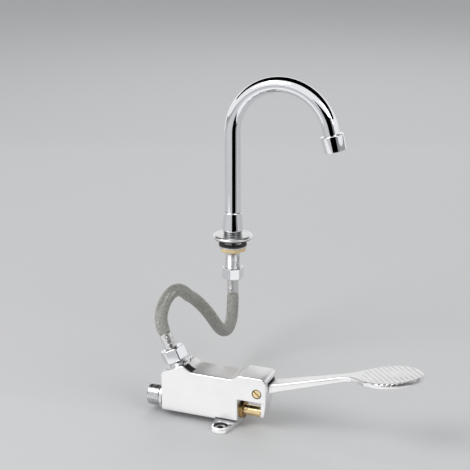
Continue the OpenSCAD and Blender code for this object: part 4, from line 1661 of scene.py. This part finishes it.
    def build(self) -> None:
        """Makes and dresses the lever."""
        crank = place_piece(self.hub_piece(), CASTING, Body.PEDAL, "pedal_lever")
        arm = place_piece(self.arm_piece(), CASTING, Body.PEDAL, "pedal_lever")
        LOG.info("lever of %s and %s", crank.name, arm.name)


# Stage


@dataclass
class Studio:
    """Pale floor, soft light and the photograph's viewpoint.

    A lamp is its name, where it hangs, what it is aimed at, its size, its watts and whether
    reflections show it. A front card is its name, its turn from the view, its width and its glow.
    """

    floor_z: float = -129.0
    floor_half: float = 9000.0
    pale: Point = (0.55, 0.553, 0.557)
    target: Point = (1.76, 1.51, 2.28)
    azimuth: float = 22.0
    elevation: float = 18.0
    distance: float = 1300.0
    lens: float = 99.57
    lamps: tuple[tuple[str, Point, Point, float, float, bool], ...] = (
        ("key_box", (-900, -1300, 1500), (30, -60, 0), 1200, 20, True),
        ("side_box", (1500, -700, 900), (40, -60, 0), 1000, 9, True),
        ("back_box", (-300, 1500, 1300), (20, -60, 0), 1100, 8, False),
    )
    front_cards: tuple[tuple[str, float, float, float], ...] = (
        ("slit_card", 14, 392, 0.0),
        ("dim_card", 47, 118, 0.3),
    )
    front_away: float = 420.0
    front_tall: float = 376.0

    @property
    def back(self) -> Array:
        """Direction from the target to the camera."""
        a, e = math.radians(self.azimuth), math.radians(self.elevation)
        return np.array([math.sin(a) * math.cos(e), -math.cos(a) * math.cos(e), math.sin(e)])

    def floor(self) -> None:
        """Lays a wide matt floor."""
        w = self.floor_half
        obj = quad("floor", [[x, y, self.floor_z] for x, y in ((-w, -w), (w, -w), (w, w), (-w, w))])
        mat = bpy.data.materials.new("pale_floor")
        mat.use_nodes = True
        bsdf = mat.node_tree.nodes["Principled BSDF"]
        bsdf.inputs["Base Color"].default_value = (*self.pale, 1)
        bsdf.inputs["Roughness"].default_value = 0.8
        bsdf.inputs["Specular IOR Level"].default_value = 0.1
        obj.data.materials.append(mat)

    @staticmethod
    def card(name: str, centre: Spot, size: tuple[float, float], face: Spot, glow: float) -> None:
        """Hangs a card that only shows in reflections: black at no glow, white at one.

        Args:
            name: object name.
            centre: its middle.
            size: width and height.
            face: the way it faces.
            glow: how bright it is.
        """
        k = unit(face)
        u = unit(np.cross([0, 0, 1.0], k)) if abs(k[2]) < 0.95 else np.array([1.0, 0, 0])
        w, h = size[0] / 2, size[1] / 2
        flat = np.array([[-w, -h], [w, -h], [w, h], [-w, h]])
        obj = quad(name, np.asarray(centre, float) + flat @ np.stack([u, np.cross(k, u)]))
        mat = bpy.data.materials.new(name)
        mat.use_nodes = True
        mat.node_tree.nodes.clear()
        n = Nodes(mat.node_tree)
        glowing = n.add("ShaderNodeEmission", Color=(1, 1, 1, 1), Strength=glow)
        n.feed(n.add("ShaderNodeOutputMaterial").inputs[0], glowing.outputs[0])
        obj.data.materials.append(mat)
        obj.visible_camera = obj.visible_diffuse = obj.visible_shadow = obj.visible_transmission = False

    @staticmethod
    def lamp(name: str, at: Point, aim: Point, size: float, watts: float, seen: bool) -> None:
        """Hangs a soft square lamp aimed at a point.

        Args:
            name: object name.
            at: where it hangs.
            aim: what it lights.
            size: its side.
            watts: its power.
            seen: whether reflections show it.
        """
        data = bpy.data.lights.new(name, "AREA")
        data.energy, data.size, data.shape = watts, size * MM, "SQUARE"
        obj = linked(name, data)
        obj.location = [c * MM for c in at]
        k = unit(np.asarray(aim, float) - np.asarray(at, float))
        obj.rotation_euler = Vector(k).to_track_quat("-Z", "Y").to_euler()
        obj.visible_glossy = seen

    def cards(self) -> None:
        """Hangs the cards in front, above and behind, and lays one on the floor."""
        for name, turn, wide, glow in self.front_cards:
            front = math.radians(self.azimuth + turn)
            to = np.array([math.sin(front), -math.cos(front), 0.0])
            self.card(name, self.front_away * to + [0, 0, 60], (wide, self.front_tall), -to, glow)
        self.card("roof_card", (-200, 580, 1000), (6000, 1640), (0, 0, -1), 0.0)
        behind = unit(-self.back * [1, 1, 0])
        self.card("back_card", 900 * behind + [0, 0, 228], (2150, 714), -behind, 0.95)
        self.card("bounce_card", (-20, -330, self.floor_z + 0.5), (700, 330), (0, 0, 1), 0.97)

    @staticmethod
    def surround() -> bpy.types.World:
        """Even grey light all round, which reflections see as a white studio.

        Returns:
            The world.
        """
        world = bpy.data.worlds.new("studio")
        world.use_nodes = True
        n = Nodes(world.node_tree)
        ground = world.node_tree.nodes["Background"]
        ground.inputs[0].default_value = (0.985, 0.99, 1.0, 1)
        glossy = n.add("ShaderNodeLightPath").outputs["Is Glossy Ray"]
        n.feed(ground.inputs[1], n.linear(glossy, 0.37, 0.58))
        return world

    def camera(self) -> Piece:
        """Sets up the photograph's viewpoint.

        Returns:
            The camera.
        """
        data = bpy.data.cameras.new("view")
        data.lens, data.sensor_width, data.clip_end = self.lens, 36.0, 50
        obj = linked("view", data)
        obj.location = (np.asarray(self.target) + self.distance * self.back) * MM
        obj.rotation_euler = (math.pi / 2 - math.radians(self.elevation), 0.0, math.radians(self.azimuth))
        return obj

    def build(self) -> None:
        """Lays the floor, hangs the lamps and cards and sets the camera."""
        scene = bpy.context.scene
        scene.view_settings.view_transform = "Standard"
        self.floor()
        for lamp in self.lamps:
            self.lamp(*lamp)
        self.cards()
        scene.world = self.surround()
        scene.camera = self.camera()
        LOG.info("studio lit by %d lamps", len(bpy.data.lights))


def dress_solids(frame: dict) -> None:
    """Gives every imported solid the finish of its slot.
    """
    slots = {s["node"]: Slot(s["material_slot"]) for s in frame["record"]["subparts"]}
    for name, obj in frame["nodes"].items():
        obj.data.materials.clear()
        obj.data.materials.append(FINISHES[slots[name]].material())


def main() -> None:
    """Builds the studio and the pieces in order."""
    logging.basicConfig(level=logging.INFO, format="%(name)s: %(message)s")
    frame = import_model()
    dress_solids(frame)
    Studio().build()
    for part in (Hose(), Spout(), DeckFitting(), FootValve(), Pedal()):
        part.build()
        LOG.info("built %s", type(part).__name__)


if __name__ == "__main__":
    main()
